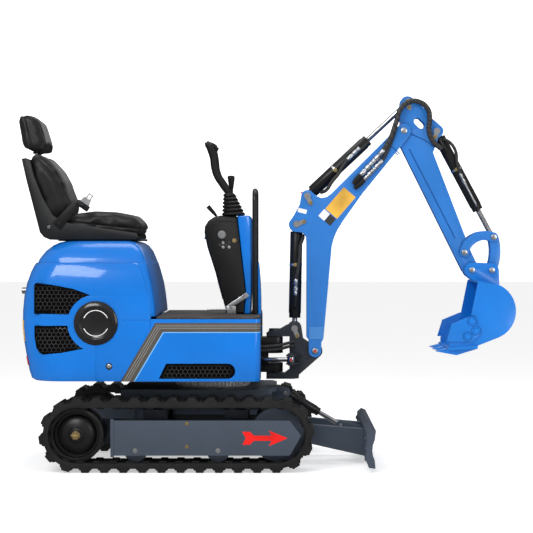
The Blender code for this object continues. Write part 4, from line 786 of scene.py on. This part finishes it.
def padStart(node):
    bm = cleaned(node)
    low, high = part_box(node)
    middle = (Vector(low) + Vector(high)) / 2
    look = padLook[node]
    bmesh.ops.transform(bm, verts=bm.verts,
                        matrix=Matrix.Translation(middle) @ Matrix.Diagonal((*look["shrink"], 1))
                        @ Matrix.Translation(-middle))
    if node == "seat_backrest":  # side wings narrow towards the top
        for v in bm.verts:
            t = max(0.0, (v.co.z - middle.z) / (high[2] - middle.z))
            v.co.y *= 1 - 0.10 * t * t
    if node == "headrest":
        for v in bm.verts:
            t = (v.co.z - middle.z) / (high[2] - middle.z)
            v.co.y *= 1 - 0.06 * t
    return bm


def puffed(node):
    look = padLook[node]
    piece = fromBmesh(node + "Pad", padStart(node), smooth=False)
    addBevel(piece, stuffingLook["corner"], stuffingLook["segments"], stuffingLook["angle"])
    remesh = piece.modifiers.new("voxels", "REMESH")
    remesh.mode = "VOXEL"
    remesh.voxel_size = look["voxel"]
    solid = meshOf(piece)
    piece.modifiers.clear()
    piece.data = solid
    start = [v.co.copy() for v in solid.vertices]
    cloth = piece.modifiers.new("stuffing", "CLOTH")
    cloth.settings.use_pressure = True
    cloth.settings.uniform_pressure_force = look["pressure"]
    cloth.settings.effector_weights.gravity = 0
    cloth.settings.quality = stuffingLook["quality"]
    for step in range(1, stuffingLook["steps"] + 1):
        bpy.context.scene.frame_set(step)
    blown = meshOf(piece)
    piece.modifiers.clear()
    bpy.context.scene.frame_set(1)
    for vertex, before, after in zip(solid.vertices, start, blown.vertices):
        move = after.co - before
        if move.length > look["cap"]:
            move *= look["cap"] / move.length
        vertex.co = before + move
    bm = bmesh.new()
    bm.from_mesh(piece.data)
    for step in range(stuffingLook["smoothing"]):  # takes the small wrinkles out
        bmesh.ops.smooth_vert(bm, verts=bm.verts, factor=0.5, use_axis_x=True, use_axis_y=True,
                              use_axis_z=True)
    sew(bm, node)
    bm.to_mesh(piece.data)
    bm.free()
    finer = piece.modifiers.new("finer", "SUBSURF")
    finer.levels = finer.render_levels = 1
    piece.data.shade_smooth()
    handOver(piece, "upper", "vinyl", (node,))
    return piece


def groove(bm, distanceOf, width, depth):
    # presses a sewn line in along where distanceOf is nought
    bm.normal_update()
    for v in bm.verts:
        d = abs(distanceOf(v.co))
        if d < width * 2:
            v.co -= v.normal * depth * math.exp(-(d / (width * 0.6)) ** 2)


def sew(bm, node):
    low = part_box(node)[0]
    if node == "seat_cushion":  # side welt, and two lines down the top
        groove(bm, lambda p: p.z - (1.094 + 0.10 * (-(p.x - slewX) - 0.42)), 0.008, 0.006)
        for y in (-0.125, 0.125):
            groove(bm, lambda p: (p.y - y) if p.z > 1.10 else 1, 0.009, 0.006)
    if node == "seat_backrest":
        for y in (-0.120, 0.120):
            groove(bm, lambda p: p.y - y, 0.009, 0.006)
        groove(bm, lambda p: (abs(p.y) - 0.172) if p.z > 1.10 else 1, 0.008, 0.005)
    if node == "headrest":
        groove(bm, lambda p: abs(p.y) - 0.112, 0.007, 0.004)
        groove(bm, lambda p: p.x - (low[0] + 0.026 + 0.25 * (1.62 - p.z)), 0.007, 0.004)


for node in padLook:
    puffed(node)
print("stage: seat pads made")

# ---- seat hardware
neckLook = {"low": (-0.818, 1.415), "high": (-0.846, 1.492), "y": 0.062, "radius": 0.0062}
for side, word in bothSides:
    y = side * neckLook["y"]
    post = tube("headrestPost" + word, [at(neckLook["low"][0], y, neckLook["low"][1]), at(-0.832, y, 1.455),
                                        at(neckLook["high"][0], y, neckLook["high"][1])],
                neckLook["radius"])
    handOver(post, "upper", "chrome")
    guide = spun("headrestGuide" + word, [(0, 0.006), (0.010, 0.006), (0.0125, 0.004), (0.0130, -0.004),
                                          (0, -0.004)],
                 at(-0.829, y, 1.446), (-0.34, 0, 1), 20)
    handOver(guide, "upper", "plastic")
for side, word in bothSides:
    pivot = spun("seatPivot" + word, [(0, 0.0050), (0.0075, 0.0045), (0.0090, 0.0030), (0.0095, 0.0),
                                      (0.0095, -0.003), (0, -0.003)],
                 at(-0.744, side * 0.220, 1.094), (0, side, 0), 28)
    handOver(pivot, "upper", "chrome")
lever = tube("slideLever", [at(-0.40, -0.165, 1.033), at(-0.345, -0.168, 1.033), at(-0.315, -0.168, 1.034),
                            at(-0.296, -0.168, 1.034)],
             0.0045, taper=[1, 1, 1, 1.3])
handOver(lever, "upper", "black")

beltLook = {"y": -0.2235, "foot": (-0.703, 1.104), "top": (-0.612, 1.206), "width": 0.046, "thick": 0.003,
            "buckle": (-0.588, 1.193), "tilt": 35}
bm = bmesh.new()
foot, top = Vector(beltLook["foot"]), Vector(beltLook["top"])
stay = addBlock(bm, (-0.010, -beltLook["thick"] / 2, -beltLook["width"] / 2),
                ((top - foot).length, beltLook["thick"] / 2, beltLook["width"] / 2))
for v in stay:
    if v.co.x > 0.05:
        v.co.z *= 0.80
roundOff(bm, stay, 0.0012, 2)
bmesh.ops.transform(bm, verts=bm.verts, matrix=Matrix.Translation(at(foot.x, beltLook["y"], foot.y))
                    @ Matrix.Rotation(-math.atan2(top.y - foot.y, top.x - foot.x), 4, "Y"))
handOver(fromBmesh("beltStay", bm), "upper", "plastic")


def onBuckle(bm, verts):
    bmesh.ops.transform(bm, verts=verts,
                        matrix=Matrix.Translation(at(beltLook["buckle"][0], beltLook["y"],
                                                     beltLook["buckle"][1]))
                        @ Matrix.Rotation(math.radians(beltLook["tilt"]), 4, "Y"))


bm = bmesh.new()
box = addBlock(bm, (-0.032, -0.006, -0.014), (0.032, 0.012, 0.013))
roundOff(bm, box, 0.004, 3)
key = addBlock(bm, (-0.012, -0.0085, -0.008), (0.012, -0.003, 0.006))
roundOff(bm, key, 0.002, 2)
onBuckle(bm, bm.verts)
handOver(fromBmesh("beltBuckle", bm), "upper", "plastic")
bm = bmesh.new()
blade = addBlock(bm, (-0.024, 0.001, 0.010), (0.026, 0.0035, 0.040))
for v in blade:
    if v.co.z > 0.03:
        v.co.x *= 0.72
frontBar = addBlock(bm, (-0.009, 0.001, 0.036), (-0.0035, 0.0035, 0.064))
rearBar = addBlock(bm, (0.0095, 0.001, 0.036), (0.015, 0.0035, 0.064))
topBar = addBlock(bm, (-0.009, 0.001, 0.059), (0.015, 0.0035, 0.0645))
for verts in (blade, frontBar, rearBar, topBar):
    roundOff(bm, verts, 0.0008, 1)
onBuckle(bm, bm.verts)
handOver(fromBmesh("beltTongue", bm), "upper", "silver")
screw = spun("beltScrew", [(0, 0.0040), (0.0060, 0.0036), (0.0080, 0.0018), (0.0085, -0.002), (0, -0.002)],
             at(-0.697, -0.2250, 1.110), (0, -1, 0), 24)
handOver(screw, "upper", "black")

# ---- joysticks and travel levers
stickLook = {"y": 0.085, "foot": (0.099, 1.151), "top": (0.078, 1.252), "folds": 6, "wide": 0.054,
             "narrow": 0.024}


def bellowsProfile(look, height):
    points = [(0, 0.0)]
    for i in range(look["folds"]):
        t = i / look["folds"]
        step = 1 / look["folds"]
        wide = look["wide"] + (look["narrow"] - look["wide"]) * t
        points += [(wide * 0.86, height * (t + 0.02 * step)), (wide, height * (t + 0.30 * step)),
                   (wide * 0.99, height * (t + 0.55 * step)), (wide * 0.80, height * (t + 0.95 * step))]
    return points + [(look["narrow"] * 0.72, height), (0, height)]


for side, word, node in ((1, "Left", "joystick_left"), (-1, "Right", "joystick_right")):
    y = side * stickLook["y"]
    foot, top = at(stickLook["foot"][0], y, stickLook["foot"][1]), at(stickLook["top"][0], y,
                                                                      stickLook["top"][1])
    boot = spun("stickBoot" + word, bellowsProfile(stickLook, (top - foot).length), foot,
                (top - foot) * Vector((0.25, 1, 1)), 36)
    for v in boot.data.vertices:
        v.co.x += (top.x - foot.x) * 0.75 * (v.co.z - foot.z) / (top.z - foot.z)
    handOver(boot, "upper", "vinyl", (node,))
    knots = [(0.080, 1.244, 0.62), (0.070, 1.262, 0.80), (0.060, 1.280, 1.0), (0.040, 1.310, 1.0),
             (0.024, 1.335, 0.98), (0.012, 1.372, 0.97),
             (0.006, 1.420, 1.0), (-0.003, 1.455, 1.12), (-0.012, 1.477, 1.10), (-0.017, 1.486, 0.7)]
    grip = tube("stickGrip" + word, [at(x, y, z) for x, z, r in knots], 0.0180,
                taper=[r for x, z, r in knots], sides=6)
    handOver(grip, "upper", "plastic")
    head = tube("stickHead" + word, [at(-0.034, y, 1.479), at(-0.020, y, 1.482), at(0.000, y, 1.476),
                                     at(0.020, y, 1.466)],
                0.0135, taper=[0.75, 1.0, 1.05, 0.8], sides=6)
    handOver(head, "upper", "plastic")
    button = spun("stickButton" + word, [(0, 0.0045), (0.0050, 0.0042), (0.0065, 0.0025), (0.0068, -0.004),
                                         (0, -0.004)],
                  at(-0.020, y, 1.4935), (-0.15, 0, 1), 20)
    handOver(button, "upper", "dark")
travel = bmesh.new()
plate = addBlock(travel, at(0.058, -0.034, 1.1503), at(0.116, 0.034, 1.162))
roundOff(travel, plate, 0.004, 2)
handOver(fromBmesh("leverBase", travel), "upper", "plastic", ("travel_levers",))
for side, word in bothSides:
    y = side * 0.018
    stem = tube("travelStem" + word, [at(0.088, y, 1.158), at(0.088, y, 1.220), at(0.087, y, 1.285)], 0.0072)
    handOver(stem, "upper", "black")
    knob = spun("travelKnob" + word, [(0, 0.064), (0.011, 0.0635), (0.0155, 0.061), (0.0168, 0.056),
                                      (0.0160, 0.046), (0.0125, 0.024),
                                      (0.0090, 0.002), (0.0080, 0), (0, 0)], at(0.0865, y, 1.276),
                (-0.02, 0, 1), 28)
    handOver(knob, "upper", "plastic")
stub = tube("smallStick", [at(0.020, -0.060, 1.146), at(0.004, -0.062, 1.165), at(-0.022, -0.064, 1.194)],
            0.0078, taper=[0.7, 1.1, 1.35])
handOver(stub, "upper", "plastic")

# ---- console details
face = 0.115  # half width of the console
boltsBothSides("consoleScrews", "upper", "gold", [(0.104, 1.033)], face, 0.0068)
for side, word in bothSides:
    button = spun("consoleButton" + word, [(0, 0.0030), (0.0120, 0.0028), (0.0130, 0.0018), (0.0145, 0.0030),
                                           (0.0180, 0.0026), (0.0190, 0.0),
                                          (0.0190, -0.002), (0, -0.002)],
                  at(0.046, side * face, 1.060), (0, side, 0), 28)
    handOver(button, "upper", "silver")
    seam = tube("consoleSeam" + word, [at(0.050, side * face, 0.760), at(0.014, side * face, 0.900),
                                       at(-0.006, side * face, 1.010),
                                       at(0.000, side * face, 1.095), at(0.030, side * face, 1.120),
                                       at(0.110, side * face, 1.118)],
                0.0016)
    handOver(seam, "upper", "black")
    for i, (x, z) in enumerate(((0.037, 1.012), (0.052, 1.022), (0.067, 1.012), (0.052, 1.002),
                                (0.080, 1.022), (0.080, 1.002))):
        port = spun("consolePort" + word + str(i), [(0, 0.0004), (0.0046, 0.0004), (0.0052, 0.0020),
                                                    (0.0066, 0.0016), (0.0070, -0.001), (0, -0.001)],
                    at(x, side * face, z), (0, side, 0), 16)
        handOver(port, "upper", "silver" if i % 2 else "dark")
key = spun("keySwitch", [(0, 0.006), (0.009, 0.006), (0.011, 0.004), (0.012, -0.004), (0, -0.004)],
           at(-0.034, 0.0, 1.050), (-1, 0, 0.2), 28)
handOver(key, "upper", "silver")
leverLook = {"y": -0.128, "foot": (0.066, 0.716), "top": (0.168, 0.783), "width": 0.021, "thick": 0.005}
bm = bmesh.new()
foot, top = Vector(leverLook["foot"]), Vector(leverLook["top"])
slope = math.atan2(top.y - foot.y, top.x - foot.x)
addBlock(bm, (0, -leverLook["thick"] / 2, -leverLook["width"] / 2),
         ((top - foot).length, leverLook["thick"] / 2, leverLook["width"] / 2))
addBlock(bm, ((top - foot).length - 0.030, -0.016, leverLook["width"] / 2 - 0.004),
         ((top - foot).length, 0.0, leverLook["width"] / 2))
bmesh.ops.transform(bm, verts=bm.verts,
                    matrix=Matrix.Translation(at(foot.x, leverLook["y"],
                                                 foot.y)) @ Matrix.Rotation(-slope, 4, "Y"))
roundOff(bm, bm.verts[:], 0.0016, 2)
plate = addBlock(bm, at(0.070, -0.1315, 0.6915), at(0.112, -0.1265, 0.728))
roundOff(bm, plate, 0.002, 2)
addCone(bm, at(foot.x + 0.020, -0.138, foot.y + 0.010), at(foot.x + 0.020, -0.120, foot.y + 0.010), 0.0085,
        0.0085, 20)
addCone(bm, at(-0.022, leverLook["y"], 0.712), at(0.070, leverLook["y"], 0.712), 0.0032, 0.0032, 12)
handOver(fromBmesh("lockLever", bm), "upper", "silver")
print("stage: controls made")

# ---- pins on the linkage
pinLook = {"head": 0.0165, "keeper": 0.036}


def keeper(name, body, pin, y, direction, reach=pinLook["keeper"]):
    # a pin head with its flag plate and bolt, on both sides
    x, z = pins[pin]
    along = Vector((direction[0], 0, direction[1])).normalized()
    plates = bmesh.new()
    screws = bmesh.new()
    for side in (1, -1):
        base = at(x, side * y, z)
        out = Vector((0, side, 0))
        addCone(plates, base, base + out * 0.0055, pinLook["head"], pinLook["head"] * 0.92, 28)
        bar = bmesh.ops.create_cube(plates, size=1)["verts"]
        turn = Matrix.Translation(base + along * reach * 0.5 + out * 0.0040) @ Matrix.Rotation(
            -math.atan2(along.z, along.x), 4, "Y") @ Matrix.Diagonal((reach, 0.0045, 0.021, 1))
        bmesh.ops.transform(plates, matrix=turn, verts=bar)
        addCone(plates, base + along * reach + out * 0.0018, base + along * reach + out * 0.0062, 0.0108,
                0.0104, 24)
        addBolt(screws, base + along * reach + out * 0.0062, out, 0.0062)
    handOver(fromBmesh(name, plates), body, "silver")
    handOver(fromBmesh(name + "Bolt", screws), body, "gold")


def pinHead(name, body, pin, y, radius=0.0150, finish="silver"):
    x, z = pins[pin]
    for side, word in bothSides:
        head = spun(name + word, [(0, 0.0040), (radius * 0.70, 0.0038), (radius * 0.93, 0.0025),
                                  (radius, 0.0), (radius, -0.003), (0, -0.003)],
                    at(x, side * y, z), (0, side, 0), 28)
        handOver(head, body, finish)


def greaseCap(name, body, centre, axis, radius=0.0042):
    cap = spun(name, [(0, 0.011), (radius * 0.8, 0.0105), (radius, 0.008), (radius * 0.9, 0.003),
                      (radius * 0.6, 0.0), (radius * 0.6, -0.004),
                      (0, -0.004)], centre, axis, 18)
    handOver(cap, body, "red")


keeper("boomRodKeeper", "swing_bracket", "boomRod", 0.038, (0.35, -1.0))
keeper("boomBarrelKeeper", "boom", "boomBarrel", 0.050, (1.0, 0.35))
keeper("armBarrelKeeper", "boom", "armBarrel", 0.050, (0.45, -1.0))
keeper("armRodKeeper", "arm", "armRod", 0.038, (0.1, -1.0), 0.030)
keeper("bucketBarrelKeeper", "arm", "bucketBarrel", 0.038, (-0.3, -1.0), 0.030)
pinHead("armPinHead", "boom", "arm", 0.054)
pinHead("rockerPinHead", "rocker", "rocker", 0.0555, 0.0140)
pinHead("linkPinHead", "rocker", "linkTop", 0.0555, 0.0145)
pinHead("bucketPinHead", "bucket", "bucket", 0.0575, 0.0140)
pinHead("linkFootHead", "bucket", "linkBottom", 0.0575, 0.0140)
pinHead("footPinHead", "swing_bracket", "foot", 0.054, 0.0150)
for side, word in bothSides:
    greaseCap("footGrease" + word, "swing_bracket", at(0.481, side * 0.0575, 0.514), (0, side, 0), 0.0055)
greaseCap("boomBarrelGrease", "boom_cylinder", at(0.3725, 0, 1.116), (-1, 0, 0.2))
greaseCap("armBarrelGrease", "arm_cylinder", at(0.424, 0, 1.256), (-0.8, 0, 0.6))
greaseCap("kingpinGrease", "upper", at(0.231, -0.020, 0.560), (0, -1, 0.2), 0.0050)
greaseCap("swingGrease", "swing_bracket", at(0.367, -0.108, 0.4765), (0, -1, 0), 0.0055)
print("stage: pins made")

# ---- labels, left blank


def label(name, body, x, z, length, width, angle, y, finish, thickness=0.0004):
    c, s = math.cos(angle), math.sin(angle)
    corners = []
    for u, v in ((-length / 2, -width / 2), (length / 2, -width / 2), (length / 2, width / 2),
                 (-length / 2, width / 2)):
        corners.append((x + u * c - v * s, z + u * s + v * c))
    return flatShape(name, corners, y, thickness, body, finish)


labelAngle = math.radians(49.3)
for side, word in bothSides:
    y = side * 0.0501
    label("amberLabel" + word, "boom", 0.6008, 1.2095, 0.134, 0.073, labelAngle, y, "amber")
    label("whiteLabel" + word, "boom", 0.5240, 1.1535, 0.042, 0.036, labelAngle, y, "white")
    label("darkLabel" + word, "boom", 0.5520, 1.1290, 0.042, 0.036, labelAngle, y, "dark")
    label("smallLabel" + word, "boom", 0.4213, 1.1723, 0.042, 0.020, math.radians(-14), y, "white")

# ---- plate round the boom's foot, and long weld beads
# foot plate in the lighter blue, a painted highlight
for side, word in bothSides:
    flatShape("footSleeve" + word, [(0.4535, 0.570), (0.5185, 0.570), (0.5235, 0.628), (0.4535, 0.628)],
              side * 0.0499, 0.0022, "boom", "sleevePlate")

# weld beads coloured dark blue as painted shade along the seams
weldLines = (("boom", 0.050, [(0.8045, 1.498), (0.842, 1.474), (0.878, 1.440)]),
             ("arm", 0.038, [(0.9244, 1.5386), (0.960, 1.522), (0.9975, 1.505), (1.0437, 1.472)]),
             ("arm", 0.038, [(0.9250, 1.462), (1.000, 1.318), (1.075, 1.172), (1.140, 1.045)]))
for i, (body, y, points) in enumerate(weldLines):
    for side, word in bothSides:
        bead = tube("weldBead" + str(i) + word, [at(x, side * y, z) for x, z in points], 0.0026, sides=2)
        handOver(bead, body, "bucketPaintedShade")

# ---- hydraulic hoses
hoseLook = {"radius": 0.0085, "fitting": 0.0098}


def fitting(name, body, start, end, radius=None):
    radius = radius or hoseLook["fitting"]
    start, end = Vector(start), Vector(end)
    length = (end - start).length
    profile = [(0, 0), (radius * 0.86, 0), (radius, length * 0.04), (radius, length * 0.34),
               (radius * 0.78, length * 0.38),
               (radius * 0.78, length * 0.46), (radius * 1.12, length * 0.50), (radius * 1.12, length * 0.72),
               (radius * 0.80, length * 0.76),
               (radius * 0.92, length * 0.80), (radius * 0.92, length * 0.97), (radius * 0.80, length),
               (0, length)]
    handOver(spun(name, profile, start, end - start, 18), body, "silver")


def along(first, second, distance, side=0.0, y=0.0):
    a, b = pins[first], pins[second]
    direction = Vector((b[0] - a[0], b[1] - a[1])).normalized()
    across = Vector((-direction.y, direction.x))
    place = Vector(a) + direction * distance + across * side
    return at(place.x, y, place.y)


def hose(name, body, points, radius=None, finish="sleeve"):
    return handOver(tube(name, points, radius or hoseLook["radius"], sides=4), body, finish)


def boomSpot(*place): return along("boomBarrel", "boomRod", *place)


def armSpot(*place): return along("armBarrel", "armRod", *place)


def bucketSpot(*place): return along("bucketBarrel", "linkTop", *place)


hoseSide = -0.036
# boom cylinder: from beside its top pin, down the barrel to its lower port
hose("boomCylinderHose", "boom_cylinder", [at(0.424, -0.020, 1.058), at(0.424, -0.034, 1.045),
                                           boomSpot(0.095, 0.020, hoseSide - 0.001),
                                  boomSpot(0.160, 0.016, hoseSide - 0.002),
                                           boomSpot(0.230, 0.008, hoseSide - 0.002),
                                  boomSpot(0.262, 0.002, hoseSide)])
fitting("boomCylinderFitting", "boom_cylinder", boomSpot(0.258, 0.002, hoseSide),
        boomSpot(0.335, 0.002, hoseSide + 0.002))
hose("boomCylinderPipe", "boom_cylinder", [boomSpot(0.330, 0.002, hoseSide + 0.002),
                                           boomSpot(0.370, 0.001, hoseSide + 0.001),
                                  boomSpot(0.392, 0, hoseSide + 0.004), boomSpot(0.400, 0, hoseSide + 0.016)],
     0.0060, "black")
# arm cylinder: a hose from the boom valley along the barrel, with its fitting
hose("armCylinderHose", "arm_cylinder", [armSpot(0.058, -0.030, -0.020), armSpot(0.082, -0.040, -0.036),
                                armSpot(0.130, -0.030, -0.040), armSpot(0.185, -0.022, -0.036),
                                armSpot(0.215, -0.012, -0.034), armSpot(0.262, -0.004, -0.034)])
fitting("armCylinderFitting", "arm_cylinder", armSpot(0.255, -0.004, -0.034), armSpot(0.335, -0.002, -0.032))
# bucket cylinder: short loop beside the barrel's top, with a rigid pipe
hose("bucketCylinderHose", "bucket_cylinder",
     [bucketSpot(0.045, 0.010, -0.034), bucketSpot(0.080, 0.030, -0.038),
                                      bucketSpot(0.125, 0.034, -0.030), bucketSpot(0.175, 0.014, -0.034),
                                      bucketSpot(0.235, 0.002, -0.034)], 0.0075)
fitting("bucketCylinderFitting", "bucket_cylinder", bucketSpot(0.228, 0.002, -0.034),
        bucketSpot(0.290, 0.0, -0.033), 0.0085)
hose("bucketCylinderPipe", "bucket_cylinder", [bucketSpot(0.285, 0, -0.033), bucketSpot(0.345, 0, -0.032),
                                      bucketSpot(0.392, 0, -0.031), bucketSpot(0.402, 0, -0.020)], 0.0050,
     "silver")


def clampBand(name, body, first, second, distance, radius, width=0.010):
    ring = spun(name, [(radius, 0), (radius + 0.0012, 0), (radius + 0.0012, width), (radius, width),
                       (radius, 0)],
                along(first, second, distance), along(first, second,
                                                      distance + 1) - along(first, second, distance), 36)
    handOver(ring, body, "silver")
    bm = bmesh.new()
    addBolt(bm, along(first, second, distance + width / 2, 0, -radius - 0.0010), (0, -1, 0), 0.0065)
    handOver(fromBmesh(name + "Bolt", bm), body, "gold")


clampBand("boomCylinderClamp", "boom_cylinder", "boomBarrel", "boomRod", 0.186, 0.0292)
clampBand("armCylinderClamp", "arm_cylinder", "armBarrel", "armRod", 0.176, 0.0292)
clampBand("bucketCylinderClamp", "bucket_cylinder", "bucketBarrel", "linkTop", 0.198, 0.0277)

# couplings on the boom's flank, each a pair of fittings between two hoses
couplingLook = {"y": -0.0625, "radius": 0.0112,
                "lines": (((0.694, 1.3396), (0.8045, 1.4569)), ((0.7112, 1.3180), (0.7971, 1.4091)))}
for i, (start, end) in enumerate(couplingLook["lines"]):
    y = couplingLook["y"]
    start, end = Vector(start), Vector(end)
    middle = start.lerp(end, 0.5)
    tail = start + (start - end).normalized() * 0.058 + Vector((0.006 - 0.012 * i, 0))
    fitting("coupling" + str(i) + "Low", "boom", at(start.x, y, start.y), at(middle.x, y, middle.y),
            couplingLook["radius"])
    fitting("coupling" + str(i) + "High", "boom", at(end.x, y, end.y), at(middle.x, y, middle.y),
            couplingLook["radius"])
    boot = tube("couplingBoot" + str(i), [at(start.x, y, start.y),
                                          at(start.x * 0.5 + tail.x * 0.5, y, start.y * 0.5 + tail.y * 0.5),
                                          at(tail.x, y + 0.002, tail.y)], 0.0125, taper=[0.9, 1.1, 0.75],
                sides=5)
    handOver(boot, "boom", "rubber")
label("couplingClip", "boom", 0.752, 1.381, 0.014, 0.060, labelAngle, -0.0501, "linkage", 0.012)

# loop over the boom's joint with the arm, in a spiral wrap
loopKnots = [(0.8045, -0.0625, 1.4569), (0.834, -0.064, 1.510), (0.862, -0.066, 1.590),
             (0.884, -0.066, 1.652), (0.925, -0.064, 1.684),
             (0.968, -0.062, 1.684), (1.010, -0.060, 1.650), (1.019, -0.060, 1.600), (1.015, -0.060, 1.555),
             (1.034, -0.062, 1.498),
             (1.075, -0.062, 1.462)]
for name, path, size in (("jointHose", loopKnots, 0.0120),
                         ("jointHoseSecond", [(0.7971, -0.0625, 1.4091), (0.818, -0.060, 1.450),
                                              (0.842, -0.056, 1.505), (0.862, -0.050, 1.570)], 0.0085)):
    loop = tube(name, [at(*knot) for knot in path], size, sides=5)
    loop.data.materials.append(finishes["sleeve"].material)
    if name == "jointHose":
        at(0.866, -0.066, 1.520)
        at(0.990, -0.060, 1.670)
        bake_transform(loop)
    else:
        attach(loop, "boom")

# hose from the body to the swing bracket
for i, z in enumerate((0.520, 0.537)):
    feed = tube("bracketHose" + str(i), [at(0.150, -0.112 - 0.004 * i, z - 0.004), at(0.215, -0.110, z),
                                         at(0.275, -0.098, z + 0.003),
                                         at(0.325, -0.074, z + 0.008), at(0.352, -0.053, z + 0.014),
                                         at(0.382, -0.0465, z + 0.020)],
                0.0075, sides=4)
    feed.data.materials.append(finishes["sleeve"].material)
    at(0.200, -0.105, z)
    at(0.345, -0.060, z)
    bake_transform(feed)
print("stage: hoses made")

# ---- bucket bolts, blade bolts and blade pin heads
bucketLook = {"y": 0.222, "bolts": [(1.197, 0.662), (1.217, 0.618), (1.178, 0.592)], "radius": 0.0135}
# dark rings under the cutter bolts: painted shade outlining each bolt
bm = bmesh.new()
for group in sides(bucketLook["bolts"], bucketLook["y"]):
    for centre, axis in group:
        addCone(bm, centre, centre + Vector(axis) * 0.0012, bucketLook["radius"] * 1.66,
                bucketLook["radius"] * 1.62, 32)
handOver(fromBmesh("cutterBoltShadeRings", bm), "bucket", "bucketPaintedShade")
boltsBothSides("cutterBolts", "bucket", "bucket", bucketLook["bolts"], bucketLook["y"], bucketLook["radius"])
for i, (y, z) in enumerate(((-0.440, 0.150), (-0.440, 0.105), (-0.440, 0.060), (0.440, 0.150), (0.440, 0.105),
                            (0.440, 0.060))):
    bm = bmesh.new()
    addBolt(bm, at(0.7005, y, z), (-1, 0, 0), 0.009)
    handOver(fromBmesh("bladeBolt" + str(i), bm), "blade", "slate")
boltsBothSides("bladePivotHead", "undercarriage", "silver", [pins["bladePivot"]], 0.171, 0.0110)
boltsBothSides("bladeRodHead", "blade", "silver", [pins["bladeRod"]], 0.0385, 0.0070)
boltsBothSides("bladeBaseHead", "undercarriage", "silver", [pins["bladeBase"]], 0.0362, 0.0070)

# ---- floor, light and camera
stageLook = {"floor": 40.0, "tone": (0.90, 0.90, 0.90), "horizon": 0.24, "zenith": 0.64, "glow": 0.50,
             "beyond": 0.25,
             "dome": 45.0}
bm = bmesh.new()
bmesh.ops.create_grid(bm, x_segments=1, y_segments=1, size=stageLook["floor"])
floor = fromBmesh("paleFloor", bm, smooth=False)
floor.data.transform(Matrix.Translation((0, 0, -0.001)))
floorFinish = Finish("paleFloorFinish", stageLook["tone"], 0.75)
floorFinish.paint(floorFinish.blendColour(floorFinish.noise(1.5, 2.0), (0.88, 0.88, 0.88),
                                          (0.92, 0.92, 0.92)))
floorFinish.shader.inputs["Emission Color"].default_value = (1, 1, 1, 1)
floorFinish.shader.inputs["Emission Strength"].default_value = stageLook["glow"]
floor.data.materials.append(floorFinish.material)
floor.visible_glossy = False

world = bpy.data.worlds.new("studio")
bpy.context.scene.world = world
world.use_nodes = True
sky = world.node_tree
skyCoords = sky.nodes.new("ShaderNodeTexCoord")
skySplit = sky.nodes.new("ShaderNodeSeparateXYZ")
sky.links.new(skyCoords.outputs["Generated"], skySplit.inputs[0])
sky.nodes["Background"].inputs["Color"].default_value = (1, 1, 1, 1)


def skyRange(axis, *limits):
    made = sky.nodes.new("ShaderNodeMapRange")
    for key, value in zip(("From Min", "From Max", "To Min", "To Max"), limits):
        made.inputs[key].default_value = value
    sky.links.new(skySplit.outputs[axis], made.inputs["Value"])
    return made


# brighter overhead than at the horizon, and darker beyond the machine, so that paint seen edge on stays deep
skyRamp = skyRange("Z", -0.1, 0.9, stageLook["horizon"], stageLook["zenith"])
skyShade = skyRange("Y", 0.2, 0.9, 1.0, stageLook["beyond"])
skyLevel = sky.nodes.new("ShaderNodeMath")
skyLevel.operation = "MULTIPLY"
sky.links.new(skyRamp.outputs[0], skyLevel.inputs[0])
sky.links.new(skyShade.outputs[0], skyLevel.inputs[1])
sky.links.new(skyLevel.outputs[0], sky.nodes["Background"].inputs["Strength"])
bpy.context.scene.view_settings.view_transform = "Standard"

bm = bmesh.new()
bmesh.ops.create_icosphere(bm, subdivisions=4, radius=stageLook["dome"])
dome = fromBmesh("whiteBackdrop", bm)
domeFinish = Finish("whiteBackdropFinish", (1, 1, 1), 1.0)
domeFinish.shader.inputs["Emission Color"].default_value = (1, 1, 1, 1)
domeFinish.shader.inputs["Emission Strength"].default_value = 1.0
dome.data.materials.append(domeFinish.material)
dome.visible_diffuse = dome.visible_glossy = dome.visible_shadow = dome.visible_transmission = False


def softLight(name, place, target, size, power):
    lamp = bpy.data.lights.new(name, "AREA")
    lamp.shape = "RECTANGLE"
    lamp.size, lamp.size_y = size
    lamp.energy = power
    holder = bpy.data.objects.new(name, lamp)
    bpy.context.scene.collection.objects.link(holder)
    turn = (Vector(target) - Vector(place)).to_track_quat("-Z", "Y").to_matrix().to_4x4()
    holder.matrix_world = Matrix.Translation(place) @ turn


softLight("keyLight", at(-1.6, -3.6, 3.4), at(0, 0, 0.8), (2.2, 1.4), 90)
softLight("fillLight", at(3.4, -3.0, 1.6), at(0.3, 0, 0.8), (1.6, 2.2), 35)
softLight("topLight", at(0.2, 0.4, 4.2), at(0.2, 0, 0.6), (2.6, 1.6), 45)
softLight("backLight", at(0.5, 3.6, 2.6), at(0.2, 0, 0.8), (3.0, 1.6), 12)

cameraLook = {"place": (0.340, -7.465, 0.998), "lens": 106.6, "shift": (-0.0347, -0.0347)}
camera = bpy.data.cameras.new("sideCamera")
camera.lens = cameraLook["lens"]
camera.sensor_width = 36
camera.shift_x, camera.shift_y = cameraLook["shift"]
camera.clip_end = 60
cameraHolder = bpy.data.objects.new("sideCamera", camera)
bpy.context.scene.collection.objects.link(cameraHolder)
level = Matrix.Rotation(math.pi / 2, 4, "X")
cameraHolder.matrix_world = Matrix.Translation(at(*cameraLook["place"])) @ level
bpy.context.scene.camera = cameraHolder
print("stage: light and camera set")
